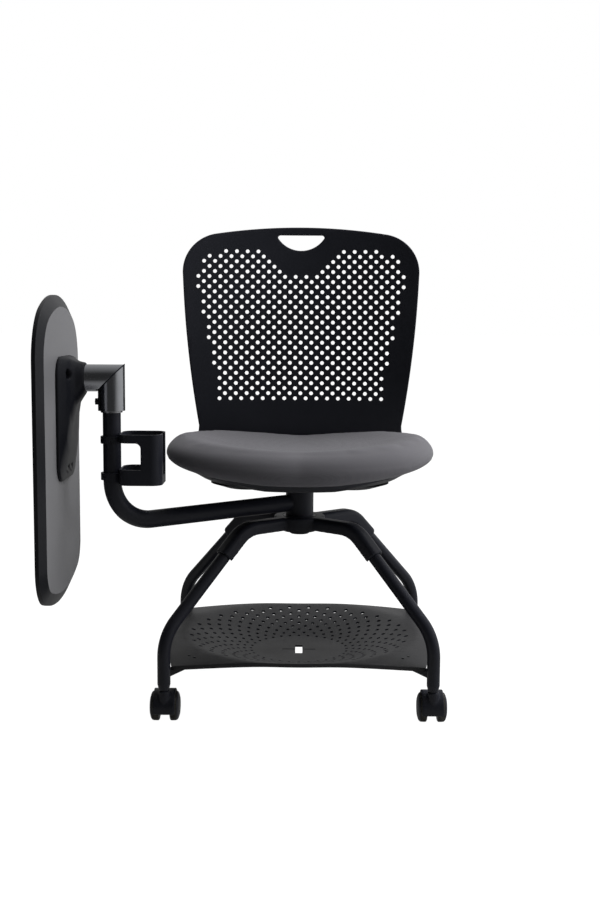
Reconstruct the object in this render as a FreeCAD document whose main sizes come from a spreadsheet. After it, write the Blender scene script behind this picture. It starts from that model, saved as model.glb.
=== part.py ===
import FreeCAD, Part
import math
import os
from types import SimpleNamespace
import Sketcher
from FreeCAD import Placement, Rotation, Vector

# A rolling training chair with a flip-over writing tablet, in millimetres.
# +Z is up, the sitter faces -Y, and the origin is on the floor under the swivel column.
# Left and right are those of someone who looks at the chair from in front: left is -X.

doc = FreeCAD.newDocument("training_chair")
sizes = doc.addObject("Spreadsheet::Sheet", "sizes")

DRIVING_SIZES = [
    # Casters: twin wheels under a hood that trails behind a vertical stem
    ("wheel_dia", 50.0, "tread diameter of a caster wheel"),
    ("wheel_width", 16.0, "width of one wheel"),
    ("wheel_gap", 18.0, "space between the two wheels of a caster"),
    ("wheel_face_dia", 31.0, "flat of the domed outer face"),
    ("wheel_dome", 5.0, "how far the outer face stands out from the tread's edge"),
    ("wheel_web", 5.3, "what is left of the wheel at the end of its bore"),
    ("caster_trail", 18.0, "how far the axle lies behind the stem"),
    ("axle_dia", 6.0, "caster axle"),
    ("stem_dia", 10.0, "caster stem"),
    ("hood_width", 37.0, "width of the hood over the wheels"),
    ("hood_wall", 3.0, "thickness of the hood's fender"),
    ("hood_gap", 1.2, "running gap between hood and wheels"),
    ("hood_web", 14.0, "web of the hood between the wheels"),
    ("hood_top", 57.0, "height of the hood's boss above the floor"),
    ("hood_apron", 17.0, "height of the hood's lower front edge"),
    ("hood_boss_dia", 19.0, "boss round the stem"),
    ("pin_fit", 0.05, "radial clearance of pins that turn"),
    ("press_gap", 0.02, "radial clearance of pins that are fixed"),
    ("running_gap", 0.3, "clearance between parts that turn face to face"),
    # Base: four bent tubes under a moulded cover
    ("leg_dia", 22.0, "leg tube"),
    ("leg_reach_x", 226.0, "foot of a leg, from the column, sideways"),
    ("leg_reach_y", 195.0, "foot of a leg, from the column, front to back"),
    ("leg_top", 310.0, "height of the tube's middle at the hub"),
    ("shoulder_reach", 128.0, "corner of the upper bend, out from the column"),
    ("shoulder_bend", 50.0, "radius of the upper bend"),
    ("knee_height", 149.0, "corner of the lower bend, above the floor"),
    ("knee_bend", 80.0, "radius of the lower bend"),
    ("leg_foot", 68.0, "height of the tube's lower end"),
    ("collar_tip_dia", 17.0, "lower end of the tapered caster socket"),
    ("collar_gap", 1.0, "gap between the caster socket and the hood"),
    ("collar_plug", 22.0, "length of the caster socket inside the leg"),
    ("collar_plug_dia", 18.0, "diameter of that plug"),
    ("hub_dia", 60.0, "welded hub"),
    ("hub_foot", 296.0, "underside of the hub"),
    ("hub_head", 324.0, "top of the hub and of its cover"),
    ("cover_width", 30.0, "width of the cover's arms"),
    ("cover_skirt", 9.0, "how far the cover reaches below the tube's middle"),
    ("cover_round", 9.0, "rounded shoulders of the cover"),
    ("cover_reach", 172.0, "end of a cover arm, out from the column"),
    ("cover_dia", 92.0, "middle of the cover"),
    ("spindle_dia", 28.0, "swivel spindle"),
    ("spindle_head", 372.0, "top of the spindle"),
    ("cap_dia", 38.0, "cap under the spindle"),
    ("cap_depth", 5.0, "height of that cap"),
    ("washer_depth", 2.0, "thrust washer of the swivel"),
    # Tray for a bag, between the legs
    ("tray_corner_x", 207.0, "corner of the tray, sideways"),
    ("tray_corner_y", 186.0, "corner of the tray, front to back"),
    ("tray_bow", 26.0, "how far each tray edge bows out"),
    ("tray_wall", 2.0, "tray sheet"),
    ("tray_well", 74.0, "height of the tray's flat middle"),
    ("tray_crest", 110.0, "height of the tray's raised ring"),
    ("tray_shoulder", 102.0, "height of the tray's corners"),
    ("tray_flat_dia", 170.0, "flat middle of the tray"),
    ("tray_crest_dia", 430.0, "raised ring of the tray"),
    ("tray_lip", 7.0, "depth of the tray's turned edge"),
    ("tray_key", 13.0, "square hole in the middle of the tray"),
    ("tray_slot", 61.0, "slot through that hole"),
    ("tray_slot_width", 2.6, "width of the slot"),
    ("first_ring_dia", 180.0, "innermost ring of tray holes"),
    ("last_ring_dia", 392.0, "outermost ring of tray holes"),
    ("tray_hole_small", 4.6, "hole of the innermost ring"),
    ("tray_hole_large", 8.4, "hole of the outermost ring"),
    ("bracket_foot", 79.0, "lower edge of a tray bracket"),
    ("bracket_wall", 3.0, "plate of a tray bracket"),
    ("bracket_reach", 66.0, "length of a tray bracket from the leg"),
    ("bracket_flange", 20.0, "width of the flange under the tray"),
    ("screw_dia", 5.0, "tray screws"),
    ("screw_head_dia", 9.0, "head of a tray screw"),
    ("screw_head", 2.6, "height of a screw head"),
    # Swivel column with the arm for the tablet
    ("sleeve_dia", 50.0, "swivel sleeve"),
    ("arm_dia", 30.0, "arm tube"),
    ("arm_height", 343.0, "height of the arm tube's middle"),
    ("post_x", 313.5, "post of the arm, sideways from the column"),
    ("post_y", 163.0, "post of the arm, in front of the column"),
    ("arm_bend", 66.0, "radius of the bend into the post"),
    ("post_head", 548.0, "top of the post, inside the elbow"),
    # Seat
    ("plate_screw_span_x", 140.0, "screws of the seat plate, across"),
    ("plate_screw_span_y", 160.0, "screws of the seat plate, front to back"),
    ("plate_width", 190.0, "seat plate, across"),
    ("plate_depth", 210.0, "seat plate, front to back"),
    ("plate_wall", 4.0, "seat plate"),
    ("plate_screw_dia", 8.0, "screws of the seat plate"),
    ("plate_screw_head_dia", 14.0, "head of such a screw"),
    ("plate_screw_head", 4.5, "height of such a head"),
    ("underseat_foot", 378.0, "underside of the cover below the seat"),
    ("underseat_wall", 3.0, "wall of that cover"),
    ("underseat_width", 310.0, "cover below the seat, across"),
    ("underseat_depth", 300.0, "cover below the seat, front to back"),
    ("underseat_corner", 66.0, "rounded corners of that cover"),
    ("underseat_draft", 29.0, "how far its sides slope in"),
    ("seat_width", 475.0, "seat pad, across"),
    ("seat_depth", 418.0, "seat pad, front to back"),
    ("seat_middle", 20.0, "middle of the pad, in front of the column"),
    ("seat_well", 401.0, "underside of the pad"),
    ("seat_crown", 450.0, "top of the pad in the middle"),
    ("seat_roll", 14.0, "depth of the pad's rolled side"),
    ("rear_lug", 120.0, "width of the shell's lug that the back is screwed to"),
    ("shell_wall", 5.0, "seat and back shells"),
    # Back
    ("back_top", 857.0, "top of the back"),
    ("back_foot", 398.0, "lower edge of the back, behind the seat"),
    ("back_width", 460.0, "back at its widest"),
    ("back_waist", 396.0, "back at its waist"),
    ("back_flare", 414.0, "back where it meets the pad"),
    ("back_shoulder", 760.0, "height where the sides are widest"),
    ("back_waist_height", 470.0, "height of the waist"),
    ("back_setback", 198.0, "back's front face above the pad, behind the column"),
    ("back_lean", 60.0, "how far the top leans back from there"),
    ("back_dish", 36.0, "how far the sides come forward"),
    ("back_screw_span_x", 70.0, "screws of the back, across"),
    ("back_screw_span_z", 20.0, "screws of the back, one row to the next"),
    ("perforation_dia", 8.5, "hole of the back"),
    ("row_pitch", 9.9, "one row of holes to the next"),
    ("column_pitch", 10.55, "one column of holes to the next"),
    ("first_row", 809.0, "height of the top row"),
    ("row_count", 30.0, "rows of holes"),
    ("field_foot", 318.2, "perforated field at its last row"),
    ("field_width", 407.2, "perforated field at its widest"),
    ("field_corner", 36.0, "how far its upper corners are rounded off"),
    ("field_shoulder", 740.0, "height where that rounding starts"),
    ("grip_width", 92.0, "hand slot in the top edge"),
    ("grip_height", 30.0, "height of the hand slot"),
    ("grip_top", 841.0, "upper edge of the hand slot"),
    ("grip_corner", 7.5, "rounded tips of the hand slot"),
    # Cup holder on the post
    ("cup_foot", 404.0, "lower edge of the cup holder"),
    ("cup_head", 488.0, "upper edge of the cup holder"),
    ("cup_width", 80.0, "ring of the cup holder, front to back"),
    ("cup_reach", 71.5, "ring of the cup holder, out from the post"),
    ("cup_wall", 3.0, "wall of the cup holder"),
    ("cup_corner", 18.0, "rounded corners of the ring"),
    ("clip_height", 12.0, "height of a clip round the post"),
    ("clip_wall", 4.0, "wall of a clip"),
    ("clip_margin", 5.5, "clip, in from the end of the holder"),
    ("window_foot", 430.0, "lower edge of the opening in the ring's sides"),
    ("window_head", 474.0, "upper edge of that opening"),
    ("window_width", 37.5, "width of that opening, from the post"),
    ("window_corner", 9.0, "its rounded upper corner"),
    ("slot_foot", 418.0, "lower end of the slot for a handle"),
    ("mug_slot", 26.0, "slot for the handle of a mug"),
    ("ledge", 12.0, "ledge that a cup stands on"),
    # Elbow, bracket and tablet
    ("elbow_dia", 45.0, "elbow"),
    ("elbow_foot", 525.0, "lower end of the elbow"),
    ("elbow_height", 579.0, "height where the elbow's two axes meet"),
    ("mitre_washer", 2.0, "washer between the halves of the elbow"),
    ("mitre_pin_dia", 12.0, "pin on which the tablet flips"),
    ("mitre_pin_reach", 17.0, "length of that pin into each half"),
    ("socket_reach", 41.5, "elbow up to the bracket's socket"),
    ("stub_reach", 62.0, "elbow up to its end inside the socket"),
    ("socket_wall", 3.0, "wall of the bracket's socket"),
    ("bush_depth", 3.0, "ring under the elbow"),
    ("bolt_dia", 6.0, "clamp bolt of the elbow"),
    ("bolt_head", 6.0, "height of that bolt's head"),
    ("bolt_head_width", 12.0, "width of that head across its corners"),
    ("bolt_height", 540.0, "height of the clamp bolt"),
    ("bracket_length", 206.0, "plate of the tablet bracket"),
    ("bracket_width", 148.0, "width of that plate"),
    ("bracket_corner", 34.0, "rounded corners of that plate"),
    ("bracket_top", 616.0, "upper end of the tablet bracket"),
    ("bracket_edge", 4.5, "upright edge of that plate"),
    ("bracket_well_dia", 15.0, "well round the head of a screw in that plate"),
    ("casting_wall", 4.0, "wall of that bracket"),
    ("bracket_screw_span", 90.0, "upper screws of that plate, across"),
    ("bracket_screw_drop", 29.0, "upper screws, below the plate's upper end"),
    ("tail_screw_span", 28.0, "lower screws of that plate, across"),
    ("tail_screw_rise", 18.0, "lower screws, above the plate's lower end"),
    ("tablet_length", 508.0, "writing tablet"),
    ("tablet_width", 322.0, "width of the tablet"),
    ("tablet_wall", 15.5, "thickness of the tablet"),
    ("tablet_top", 715.0, "upper end of the tablet as it hangs"),
    ("tablet_shift", 14.0, "middle of the tablet, in front of the post as it hangs"),
    ("tablet_crown", 19.0, "arch of the upper end"),
    ("tablet_shoulder", 104.0, "where the upper end starts to round"),
    ("tablet_corner", 62.0, "upper corner, measured across"),
    ("tablet_corner_bend", 94.0, "radius of the upper corner"),
    ("tablet_sag", 17.0, "arch of the lower end"),
    ("tablet_hip", 78.0, "where the lower end starts to round"),
    ("tablet_toe", 50.0, "lower corner, measured across"),
    ("tablet_toe_bend", 66.0, "radius of the lower corner"),
    ("tablet_reach", 94.0, "writing face, out from the post"),
    ("tablet_bevel", 19.0, "width of the bevel round its underside"),
    ("tablet_bevel_depth", 9.0, "depth of that bevel"),
]

for row, (name, number, note) in enumerate(DRIVING_SIZES, start=1):
    sizes.set("A%d" % row, note)
    sizes.set("B%d" % row, str(number))
    sizes.setAlias("B%d" % row, name)
doc.recompute()
v = SimpleNamespace(**{name: float(sizes.get(name)) for name, _, _ in DRIVING_SIZES})

OVERRUN = 2.0 * v.shell_wall
UP = Vector(0, 0, 1)
parts = []


# How the pieces are drawn

def keep(piece, label, place=None):
    """List a finished piece under the name of its file."""
    piece.Label = label
    if place is not None:
        piece.Placement = place
    parts.append(piece)
    return piece


def bind(thing, **sums):
    """Tie properties to sums of cells; a double underscore stands for a dot."""
    for prop, expression in sums.items():
        thing.setExpression(prop.replace("__", "."), expression)


def new_body(name):
    return doc.addObject("PartDesign::Body", name)


def new_sketch(owner, role, lift=None):
    """A sketch on one of the body's own origin planes, lifted along its normal."""
    flat = next(f for f in owner.Origin.OriginFeatures if f.Role == role)
    drawn = owner.newObject("Sketcher::SketchObject", owner.Name + "_sketch")
    drawn.AttachmentSupport = (flat, "")
    drawn.MapMode = "FlatFace"
    if lift is not None:
        drawn.setExpression("AttachmentOffset.Base.z", lift)
    return drawn


def pin_point(drawn, edge, end, across, along):
    """Hold one point of a sketch at two sums of cells."""
    for kind, axis, expression in (("DistanceX", -2, across), ("DistanceY", -1, along)):
        if expression == "0":
            drawn.addConstraint(Sketcher.Constraint("PointOnObject", edge, end, axis))
            continue
        number = float(drawn.evalExpression(expression))
        held = drawn.addConstraint(Sketcher.Constraint(kind, -1, 1, edge, end, number))
        drawn.setExpression("Constraints[%d]" % held, expression)


def draw_outline(drawn, corners, closed=True):
    """Draw corners in turn. A third entry is the radius of the arc that leaves the corner.

    A positive radius bulges to the right of the way round, a negative one to the left.
    """
    points = [Vector(float(drawn.evalExpression(c[0])), float(drawn.evalExpression(c[1])), 0)
              for c in corners]
    count = len(corners) if closed else len(corners) - 1
    ends = []
    for index in range(count):
        start, finish = points[index], points[(index + 1) % len(points)]
        corner = corners[index]
        if len(corner) == 2:
            edge = drawn.addGeometry(Part.LineSegment(start, finish))
            ends.append((edge, 1, 2))
            continue
        radius = float(drawn.evalExpression(corner[2]))
        chord = finish - start
        left = Vector(-chord.y, chord.x, 0).normalize()
        rise = math.sqrt(radius ** 2 - (chord.Length / 2) ** 2)
        centre = (start + finish) / 2 + left * math.copysign(rise, radius)
        first, last = (start, finish) if radius > 0 else (finish, start)
        angles = [math.atan2(p.y - centre.y, p.x - centre.x) for p in (first, last)]
        if angles[1] < angles[0]:
            angles[1] += 2 * math.pi
        circle = Part.Circle(centre, UP, abs(radius))
        edge = drawn.addGeometry(Part.ArcOfCircle(circle, *angles))
        ends.append((edge, 1, 2) if radius > 0 else (edge, 2, 1))
        held = drawn.addConstraint(Sketcher.Constraint("Radius", edge, abs(radius)))
        drawn.setExpression("Constraints[%d]" % held, "abs(%s)" % corner[2])
    for index, (edge, start, finish) in enumerate(ends):
        pin_point(drawn, edge, start, corners[index][0], corners[index][1])
        if closed or index + 1 < count:
            following, following_start, _ = ends[(index + 1) % len(ends)]
            drawn.addConstraint(
                Sketcher.Constraint("Coincident", edge, finish, following, following_start))
    if not closed:
        edge, _, finish = ends[-1]
        pin_point(drawn, edge, finish, corners[-1][0], corners[-1][1])


def draw_circle(drawn, across, along, radius):
    centre = Vector(float(drawn.evalExpression(across)), float(drawn.evalExpression(along)), 0)
    number = float(drawn.evalExpression(radius))
    edge = drawn.addGeometry(Part.Circle(centre, UP, number))
    held = drawn.addConstraint(Sketcher.Constraint("Radius", edge, number))
    drawn.setExpression("Constraints[%d]" % held, radius)
    pin_point(drawn, edge, 3, across, along)


def rectangle(left, low, right, high):
    return [(left, low), (right, low), (right, high), (left, high)]


def pad(owner, drawn, length, reverse=False):
    made = owner.newObject("PartDesign::Pad", owner.Name + "_pad")
    made.Profile = drawn
    made.Reversed = reverse
    bind(made, Length=length)
    owner.Tip = made
    return made


def pocket(owner, drawn, length, reverse=False):
    made = owner.newObject("PartDesign::Pocket", owner.Name + "_pocket")
    made.Profile = drawn
    made.Reversed = reverse
    bind(made, Length=length)
    owner.Tip = made
    return made


def turn(owner, drawn, axis):
    """Turn a half section once round an axis of its sketch."""
    made = owner.newObject("PartDesign::Revolution", owner.Name + "_turned")
    made.Profile = drawn
    made.ReferenceAxis = (drawn, [axis])
    made.Angle = 360
    owner.Tip = made
    return made


def pipe(owner, path, profile):
    made = owner.newObject("PartDesign::AdditivePipe", owner.Name + "_pipe")
    made.Profile = profile
    made.Spine = path
    owner.Tip = made
    return made


def turned_piece(label, corners, place=None):
    """A lathe piece about the vertical axis, from (radius, height) corners."""
    owner = new_body(label)
    drawn = new_sketch(owner, "XZ_Plane")
    draw_outline(drawn, corners)
    turn(owner, drawn, "V_Axis")
    return keep(owner, label, place)


def cylinder(radius, low, high, across=0.0, along=0.0):
    return Part.makeCylinder(radius, high - low, Vector(across, along, low), UP)


def solid_feature(label, shape, place=None):
    made = doc.addObject("Part::Feature", label)
    made.Shape = shape
    return keep(made, label, place)


def spaced(low, high, count):
    return [low + (high - low) * step / (count - 1) for step in range(count)]


# The four corners of the base: name, side in X and side in Y
CORNERS = [("front_left", -1, -1), ("front_right", 1, -1), ("rear_left", -1, 1), ("rear_right", 1, 1)]


def foot_place(side_x, side_y, height=0.0):
    return Placement(Vector(side_x * v.leg_reach_x, side_y * v.leg_reach_y, height), Rotation())


def leg_turn(side_x, side_y):
    """The turn about the column that brings a leg drawn along +X to its corner."""
    angle = math.degrees(math.atan2(side_y * v.leg_reach_y, side_x * v.leg_reach_x))
    return Placement(Vector(), Rotation(UP, angle))


# Casters

def caster_wheel(label, side_x, side_y, face):
    """One wheel: a flat tread, a domed outer face and a blind bore for the axle."""
    owner = new_body(label)
    drawn = new_sketch(owner, "XZ_Plane")
    inner = "sizes.wheel_gap / 2"
    outer = "sizes.wheel_gap / 2 + sizes.wheel_width"
    draw_outline(drawn, [
        (inner, "sizes.axle_dia / 2 + sizes.pin_fit"),
        (outer + " - sizes.wheel_web", "sizes.axle_dia / 2 + sizes.pin_fit"),
        (outer + " - sizes.wheel_web", "0"),
        (outer, "0"),
        (outer, "sizes.wheel_face_dia / 2"),
        (outer + " - sizes.wheel_dome", "sizes.wheel_dia / 2"),
        (inner, "sizes.wheel_dia / 2")])
    turn(owner, drawn, "H_Axis")
    place = foot_place(side_x, side_y, v.wheel_dia / 2)
    place.Base.y += v.caster_trail
    if face < 0:
        place.Rotation = Rotation(UP, 180)
    return keep(owner, label, place)


def caster_hood(label, side_x, side_y):
    """A fender over both wheels, a web that carries the axle and a boss for the stem."""
    owner = new_body(label)
    reach = "(sizes.wheel_dia / 2 + sizes.hood_gap + sizes.hood_wall)"
    inside = "(sizes.wheel_dia / 2 + sizes.hood_gap)"
    drop = "(sizes.wheel_dia / 2 - sizes.hood_apron)"
    front = "sizes.caster_trail - sqrt(%s ^ 2 - %s ^ 2)" % (reach, drop)
    front_inside = "sizes.caster_trail - sqrt(%s ^ 2 - %s ^ 2)" % (inside, drop)
    back = "sizes.caster_trail + %s" % reach
    back_inside = "sizes.caster_trail + %s" % inside
    axle = "sizes.wheel_dia / 2"
    crown = "%s + %s" % (axle, reach)
    fender = new_sketch(owner, "YZ_Plane", "-sizes.hood_width / 2")
    draw_outline(fender, [
        (front, "sizes.hood_apron"),
        (front_inside, "sizes.hood_apron", "-" + inside),
        ("sizes.caster_trail", axle + " + " + inside, "-" + inside),
        (back_inside, axle),
        (back, axle, reach),
        ("sizes.caster_trail", crown, reach)])
    pad(owner, fender, "sizes.hood_width")
    web = new_sketch(owner, "YZ_Plane", "-sizes.hood_web / 2")
    draw_outline(web, [
        (front, "sizes.hood_apron"),
        (back + " - sizes.hood_wall", "sizes.hood_apron"),
        (back, axle, reach),
        ("sizes.caster_trail", crown, reach)])
    pad(owner, web, "sizes.hood_web")
    boss = new_sketch(owner, "XY_Plane", axle)
    draw_circle(boss, "0", "0", "sizes.hood_boss_dia / 2")
    pad(owner, boss, "sizes.hood_top - sizes.wheel_dia / 2")
    bore = new_sketch(owner, "XY_Plane", "sizes.hood_top")
    draw_circle(bore, "0", "0", "sizes.stem_dia / 2 + sizes.press_gap")
    pocket(owner, bore, "sizes.hood_top - %s - sizes.hood_wall" % axle)
    axle_bore = new_sketch(owner, "YZ_Plane", "-sizes.hood_web")
    draw_circle(axle_bore, "sizes.caster_trail", axle, "sizes.axle_dia / 2 + sizes.press_gap")
    pocket(owner, axle_bore, "sizes.hood_web * 2", reverse=True)
    # The boss stands clear of the wheels: they keep their running gap inside the fender
    clear = new_sketch(owner, "YZ_Plane", "sizes.hood_web / 2")
    draw_circle(clear, "sizes.caster_trail", axle, inside)
    pocket(owner, clear, "sizes.hood_width", reverse=True)
    clear_left = new_sketch(owner, "YZ_Plane", "-sizes.hood_web / 2")
    draw_circle(clear_left, "sizes.caster_trail", axle, inside)
    pocket(owner, clear_left, "sizes.hood_width")
    return keep(owner, label, foot_place(side_x, side_y))


def caster_stem(label, side_x, side_y):
    """The stem: fixed in the hood's boss, it turns in the socket of the leg."""
    owner = new_body(label)
    drawn = new_sketch(owner, "XY_Plane", "sizes.wheel_dia / 2 + sizes.hood_wall")
    draw_circle(drawn, "0", "0", "sizes.stem_dia / 2")
    pad(owner, drawn, "sizes.leg_foot + sizes.collar_plug - sizes.wheel_dia / 2 - 2 * sizes.hood_wall")
    return keep(owner, label, foot_place(side_x, side_y))


def caster_axle(label, side_x, side_y):
    owner = new_body(label)
    half = "(sizes.wheel_gap / 2 + sizes.wheel_width - sizes.wheel_web - sizes.running_gap)"
    drawn = new_sketch(owner, "YZ_Plane", "-" + half)
    draw_circle(drawn, "sizes.caster_trail", "sizes.wheel_dia / 2", "sizes.axle_dia / 2")
    pad(owner, drawn, "2 * " + half)
    return keep(owner, label, foot_place(side_x, side_y))


for corner, side_x, side_y in CORNERS:
    caster_hood(corner + "_caster_hood", side_x, side_y)
    caster_stem(corner + "_caster_stem", side_x, side_y)
    caster_axle(corner + "_caster_axle", side_x, side_y)
    caster_wheel(corner + "_left_wheel", side_x, side_y, -1)
    caster_wheel(corner + "_right_wheel", side_x, side_y, 1)


# Legs: round tube, bent twice in one upright plane, coped to the hub

FOOT = "sqrt(sizes.leg_reach_x ^ 2 + sizes.leg_reach_y ^ 2)"
SLOPE = "atan((sizes.leg_top - sizes.knee_height) / (%s - sizes.shoulder_reach))" % FOOT
SHOULDER_RUN = "sizes.shoulder_bend * tan(%s / 2)" % SLOPE
KNEE_RUN = "sizes.knee_bend * tan((90 deg - %s) / 2)" % SLOPE


def leg_path(drawn):
    """The tube's middle line: level, down the slope, then upright."""
    draw_outline(drawn, [
        ("sizes.hub_dia / 4", "sizes.leg_top"),
        ("sizes.shoulder_reach - %s" % SHOULDER_RUN, "sizes.leg_top", "-sizes.shoulder_bend"),
        ("sizes.shoulder_reach + %s * cos(%s)" % (SHOULDER_RUN, SLOPE),
         "sizes.leg_top - %s * sin(%s)" % (SHOULDER_RUN, SLOPE)),
        ("%s - %s * cos(%s)" % (FOOT, KNEE_RUN, SLOPE),
         "sizes.knee_height + %s * sin(%s)" % (KNEE_RUN, SLOPE), "-sizes.knee_bend"),
        (FOOT, "sizes.knee_height - %s" % KNEE_RUN),
        (FOOT, "sizes.leg_foot")], closed=False)


def leg(label, side_x, side_y):
    owner = new_body(label)
    path = new_sketch(owner, "XZ_Plane")
    leg_path(path)
    section = new_sketch(owner, "YZ_Plane", "sizes.hub_dia / 4")
    draw_circle(section, "0", "sizes.leg_top", "sizes.leg_dia / 2")
    pipe(owner, path, section)
    hub_cut = new_sketch(owner, "XY_Plane", "sizes.hub_foot")
    draw_circle(hub_cut, "0", "0", "sizes.hub_dia / 2")
    pocket(owner, hub_cut, "sizes.hub_head - sizes.hub_foot", reverse=True)
    socket_bore = new_sketch(owner, "XY_Plane", "sizes.leg_foot")
    draw_circle(socket_bore, FOOT, "0", "sizes.collar_plug_dia / 2")
    pocket(owner, socket_bore, "sizes.collar_plug", reverse=True)
    return keep(owner, label, leg_turn(side_x, side_y))


def caster_socket(side_x, side_y):
    """A tapered collar under the leg with a plug inside it, bored for the caster stem."""
    spot = foot_place(side_x, side_y).Base
    tip, plug_top = v.hood_top + v.collar_gap, v.leg_foot + v.collar_plug
    collar = Part.makeCone(v.collar_tip_dia / 2, v.leg_dia / 2, v.leg_foot - tip,
                           Vector(spot.x, spot.y, tip), UP)
    plug = cylinder(v.collar_plug_dia / 2, v.leg_foot, plug_top, spot.x, spot.y)
    return collar.fuse(plug).cut(cylinder(v.stem_dia / 2 + v.pin_fit, tip, plug_top, spot.x, spot.y))


for corner, side_x, side_y in CORNERS:
    leg(corner + "_leg", side_x, side_y)
solid_feature("caster_sockets", Part.makeCompound(
    [caster_socket(side_x, side_y) for _, side_x, side_y in CORNERS]))


# Hub, spindle and the moulded cover over the leg roots

turned_piece("hub_socket", [
    ("sizes.spindle_dia / 2 + sizes.press_gap", "sizes.hub_foot"),
    ("sizes.hub_dia / 2", "sizes.hub_foot"),
    ("sizes.hub_dia / 2", "sizes.hub_head"),
    ("sizes.spindle_dia / 2 + sizes.press_gap", "sizes.hub_head")])
turned_piece("swivel_spindle", [
    ("0", "sizes.hub_foot"),
    ("sizes.spindle_dia / 2", "sizes.hub_foot"),
    ("sizes.spindle_dia / 2", "sizes.spindle_head"),
    ("0", "sizes.spindle_head")])
turned_piece("spindle_cap", [
    ("0", "sizes.hub_foot - sizes.cap_depth"),
    ("sizes.cap_dia / 2 - sizes.cap_depth / 2", "sizes.hub_foot - sizes.cap_depth"),
    ("sizes.cap_dia / 2", "sizes.hub_foot - sizes.cap_depth / 2"),
    ("sizes.cap_dia / 2", "sizes.hub_foot"),
    ("0", "sizes.hub_foot")])
turned_piece("thrust_washer", [
    ("sizes.spindle_dia / 2 + sizes.pin_fit", "sizes.hub_head"),
    ("sizes.sleeve_dia / 2", "sizes.hub_head"),
    ("sizes.sleeve_dia / 2", "sizes.hub_head + sizes.washer_depth"),
    ("sizes.spindle_dia / 2 + sizes.pin_fit", "sizes.hub_head + sizes.washer_depth")])


def cover_arm(width, top, foot, rounding):
    """One arm of the cover: a section with rounded shoulders that follows the leg's bend."""
    slope = math.atan((v.leg_top - v.knee_height)
                      / (math.hypot(v.leg_reach_x, v.leg_reach_y) - v.shoulder_reach))
    run = v.shoulder_bend * math.tan(slope / 2)
    half = width / 2
    low = v.leg_top - foot
    high = v.leg_top + top
    bend = rounding * (1 - math.sqrt(2) / 2)
    section = Part.Face(Part.Wire([
        Part.makeLine(Vector(0, -half, low), Vector(0, half, low)),
        Part.makeLine(Vector(0, half, low), Vector(0, half, high - rounding)),
        Part.Arc(Vector(0, half, high - rounding), Vector(0, half - bend, high - bend),
                 Vector(0, half - rounding, high)).toShape(),
        Part.makeLine(Vector(0, half - rounding, high), Vector(0, rounding - half, high)),
        Part.Arc(Vector(0, rounding - half, high), Vector(0, bend - half, high - bend),
                 Vector(0, -half, high - rounding)).toShape(),
        Part.makeLine(Vector(0, -half, high - rounding), Vector(0, -half, low))]))
    level_end = v.shoulder_reach - run
    level = section.extrude(Vector(level_end, 0, 0))
    section.translate(Vector(level_end, 0, 0))
    pivot, axis = Vector(level_end, 0, v.leg_top - v.shoulder_bend), Vector(0, 1, 0)
    turned = section.revolve(pivot, axis, math.degrees(slope))
    section.rotate(pivot, axis, math.degrees(slope))
    along = (v.cover_reach - v.shoulder_reach) / math.cos(slope) - run
    sloping = section.extrude(Vector(math.cos(slope), 0, -math.sin(slope)) * along)
    return level.fuse([turned, sloping])


def hub_cover():
    """An X of four hollow arms round a disc, open below, with the hub through its middle."""
    top = v.hub_head - v.leg_top
    arm = cover_arm(v.cover_width, top, v.cover_skirt, v.cover_round)
    bore = v.leg_dia / 2 + v.press_gap
    hollow = cover_arm(2 * bore, bore, v.cover_skirt + OVERRUN, bore - v.press_gap)
    low = v.leg_top - v.cover_skirt
    cover = cylinder(v.cover_dia / 2, low, v.hub_head)
    for _, side_x, side_y in CORNERS:
        turned = arm.copy()
        turned.Placement = leg_turn(side_x, side_y)
        cover = cover.fuse(turned)
    for _, side_x, side_y in CORNERS:
        turned = hollow.copy()
        turned.Placement = leg_turn(side_x, side_y)
        cover = cover.cut(turned)
    cover = cover.cut(cylinder(v.hub_dia / 2, low - OVERRUN, v.hub_head + OVERRUN))
    return cover.removeSplitter()


solid_feature("hub_cover", hub_cover())


# Tray: a pressed and perforated sheet with a turned edge

def dish(depth, rise=0.0):
    """The tray's turned section: flat middle, rising cone, then a shoulder that falls outwards."""
    flat, crest = v.tray_flat_dia / 2, v.tray_crest_dia / 2
    corner = math.hypot(v.tray_corner_x, v.tray_corner_y)
    fall = (v.tray_crest - v.tray_shoulder) / (corner - crest)
    edge = corner + v.tray_bow
    line = [(0, v.tray_well), (flat, v.tray_well), (crest, v.tray_crest),
            (edge, v.tray_crest - fall * (edge - crest))]
    points = [Vector(r, 0, z + rise) for r, z in line]
    points += [Vector(r, 0, z - depth) for r, z in reversed(line)]
    return Part.Face(Part.makePolygon(points + points[:1])).revolve(Vector(), UP, 360)


def bowed_outline(inset, low, high):
    """A block whose four sides bow out between the tray's corners."""
    x, y, bow = v.tray_corner_x - inset, v.tray_corner_y - inset, v.tray_bow
    corners = [Vector(-x, -y, low), Vector(x, -y, low), Vector(x, y, low), Vector(-x, y, low)]
    tops = [Vector(0, -y - bow, low), Vector(x + bow, 0, low), Vector(0, y + bow, low),
            Vector(-x - bow, 0, low)]
    edges = [Part.Arc(corners[i], tops[i], corners[(i + 1) % 4]).toShape() for i in range(4)]
    return Part.Face(Part.Wire(edges)).extrude(UP * (high - low))


def tray_punch(width, radius, angle, low, high):
    """A punch with the area of a round hole, between two rings and two rays from the tray's middle."""
    side = width * math.sqrt(math.pi) / 2
    inner, outer = radius - side / 2, radius + side / 2
    section = Part.makePolygon([Vector(inner, 0, low), Vector(outer, 0, low), Vector(outer, 0, high),
                                Vector(inner, 0, high), Vector(inner, 0, low)])
    swing = math.degrees(side / radius)
    section.rotate(Vector(), UP, angle - swing / 2)
    return Part.Face(section).revolve(Vector(), UP, swing)


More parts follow.
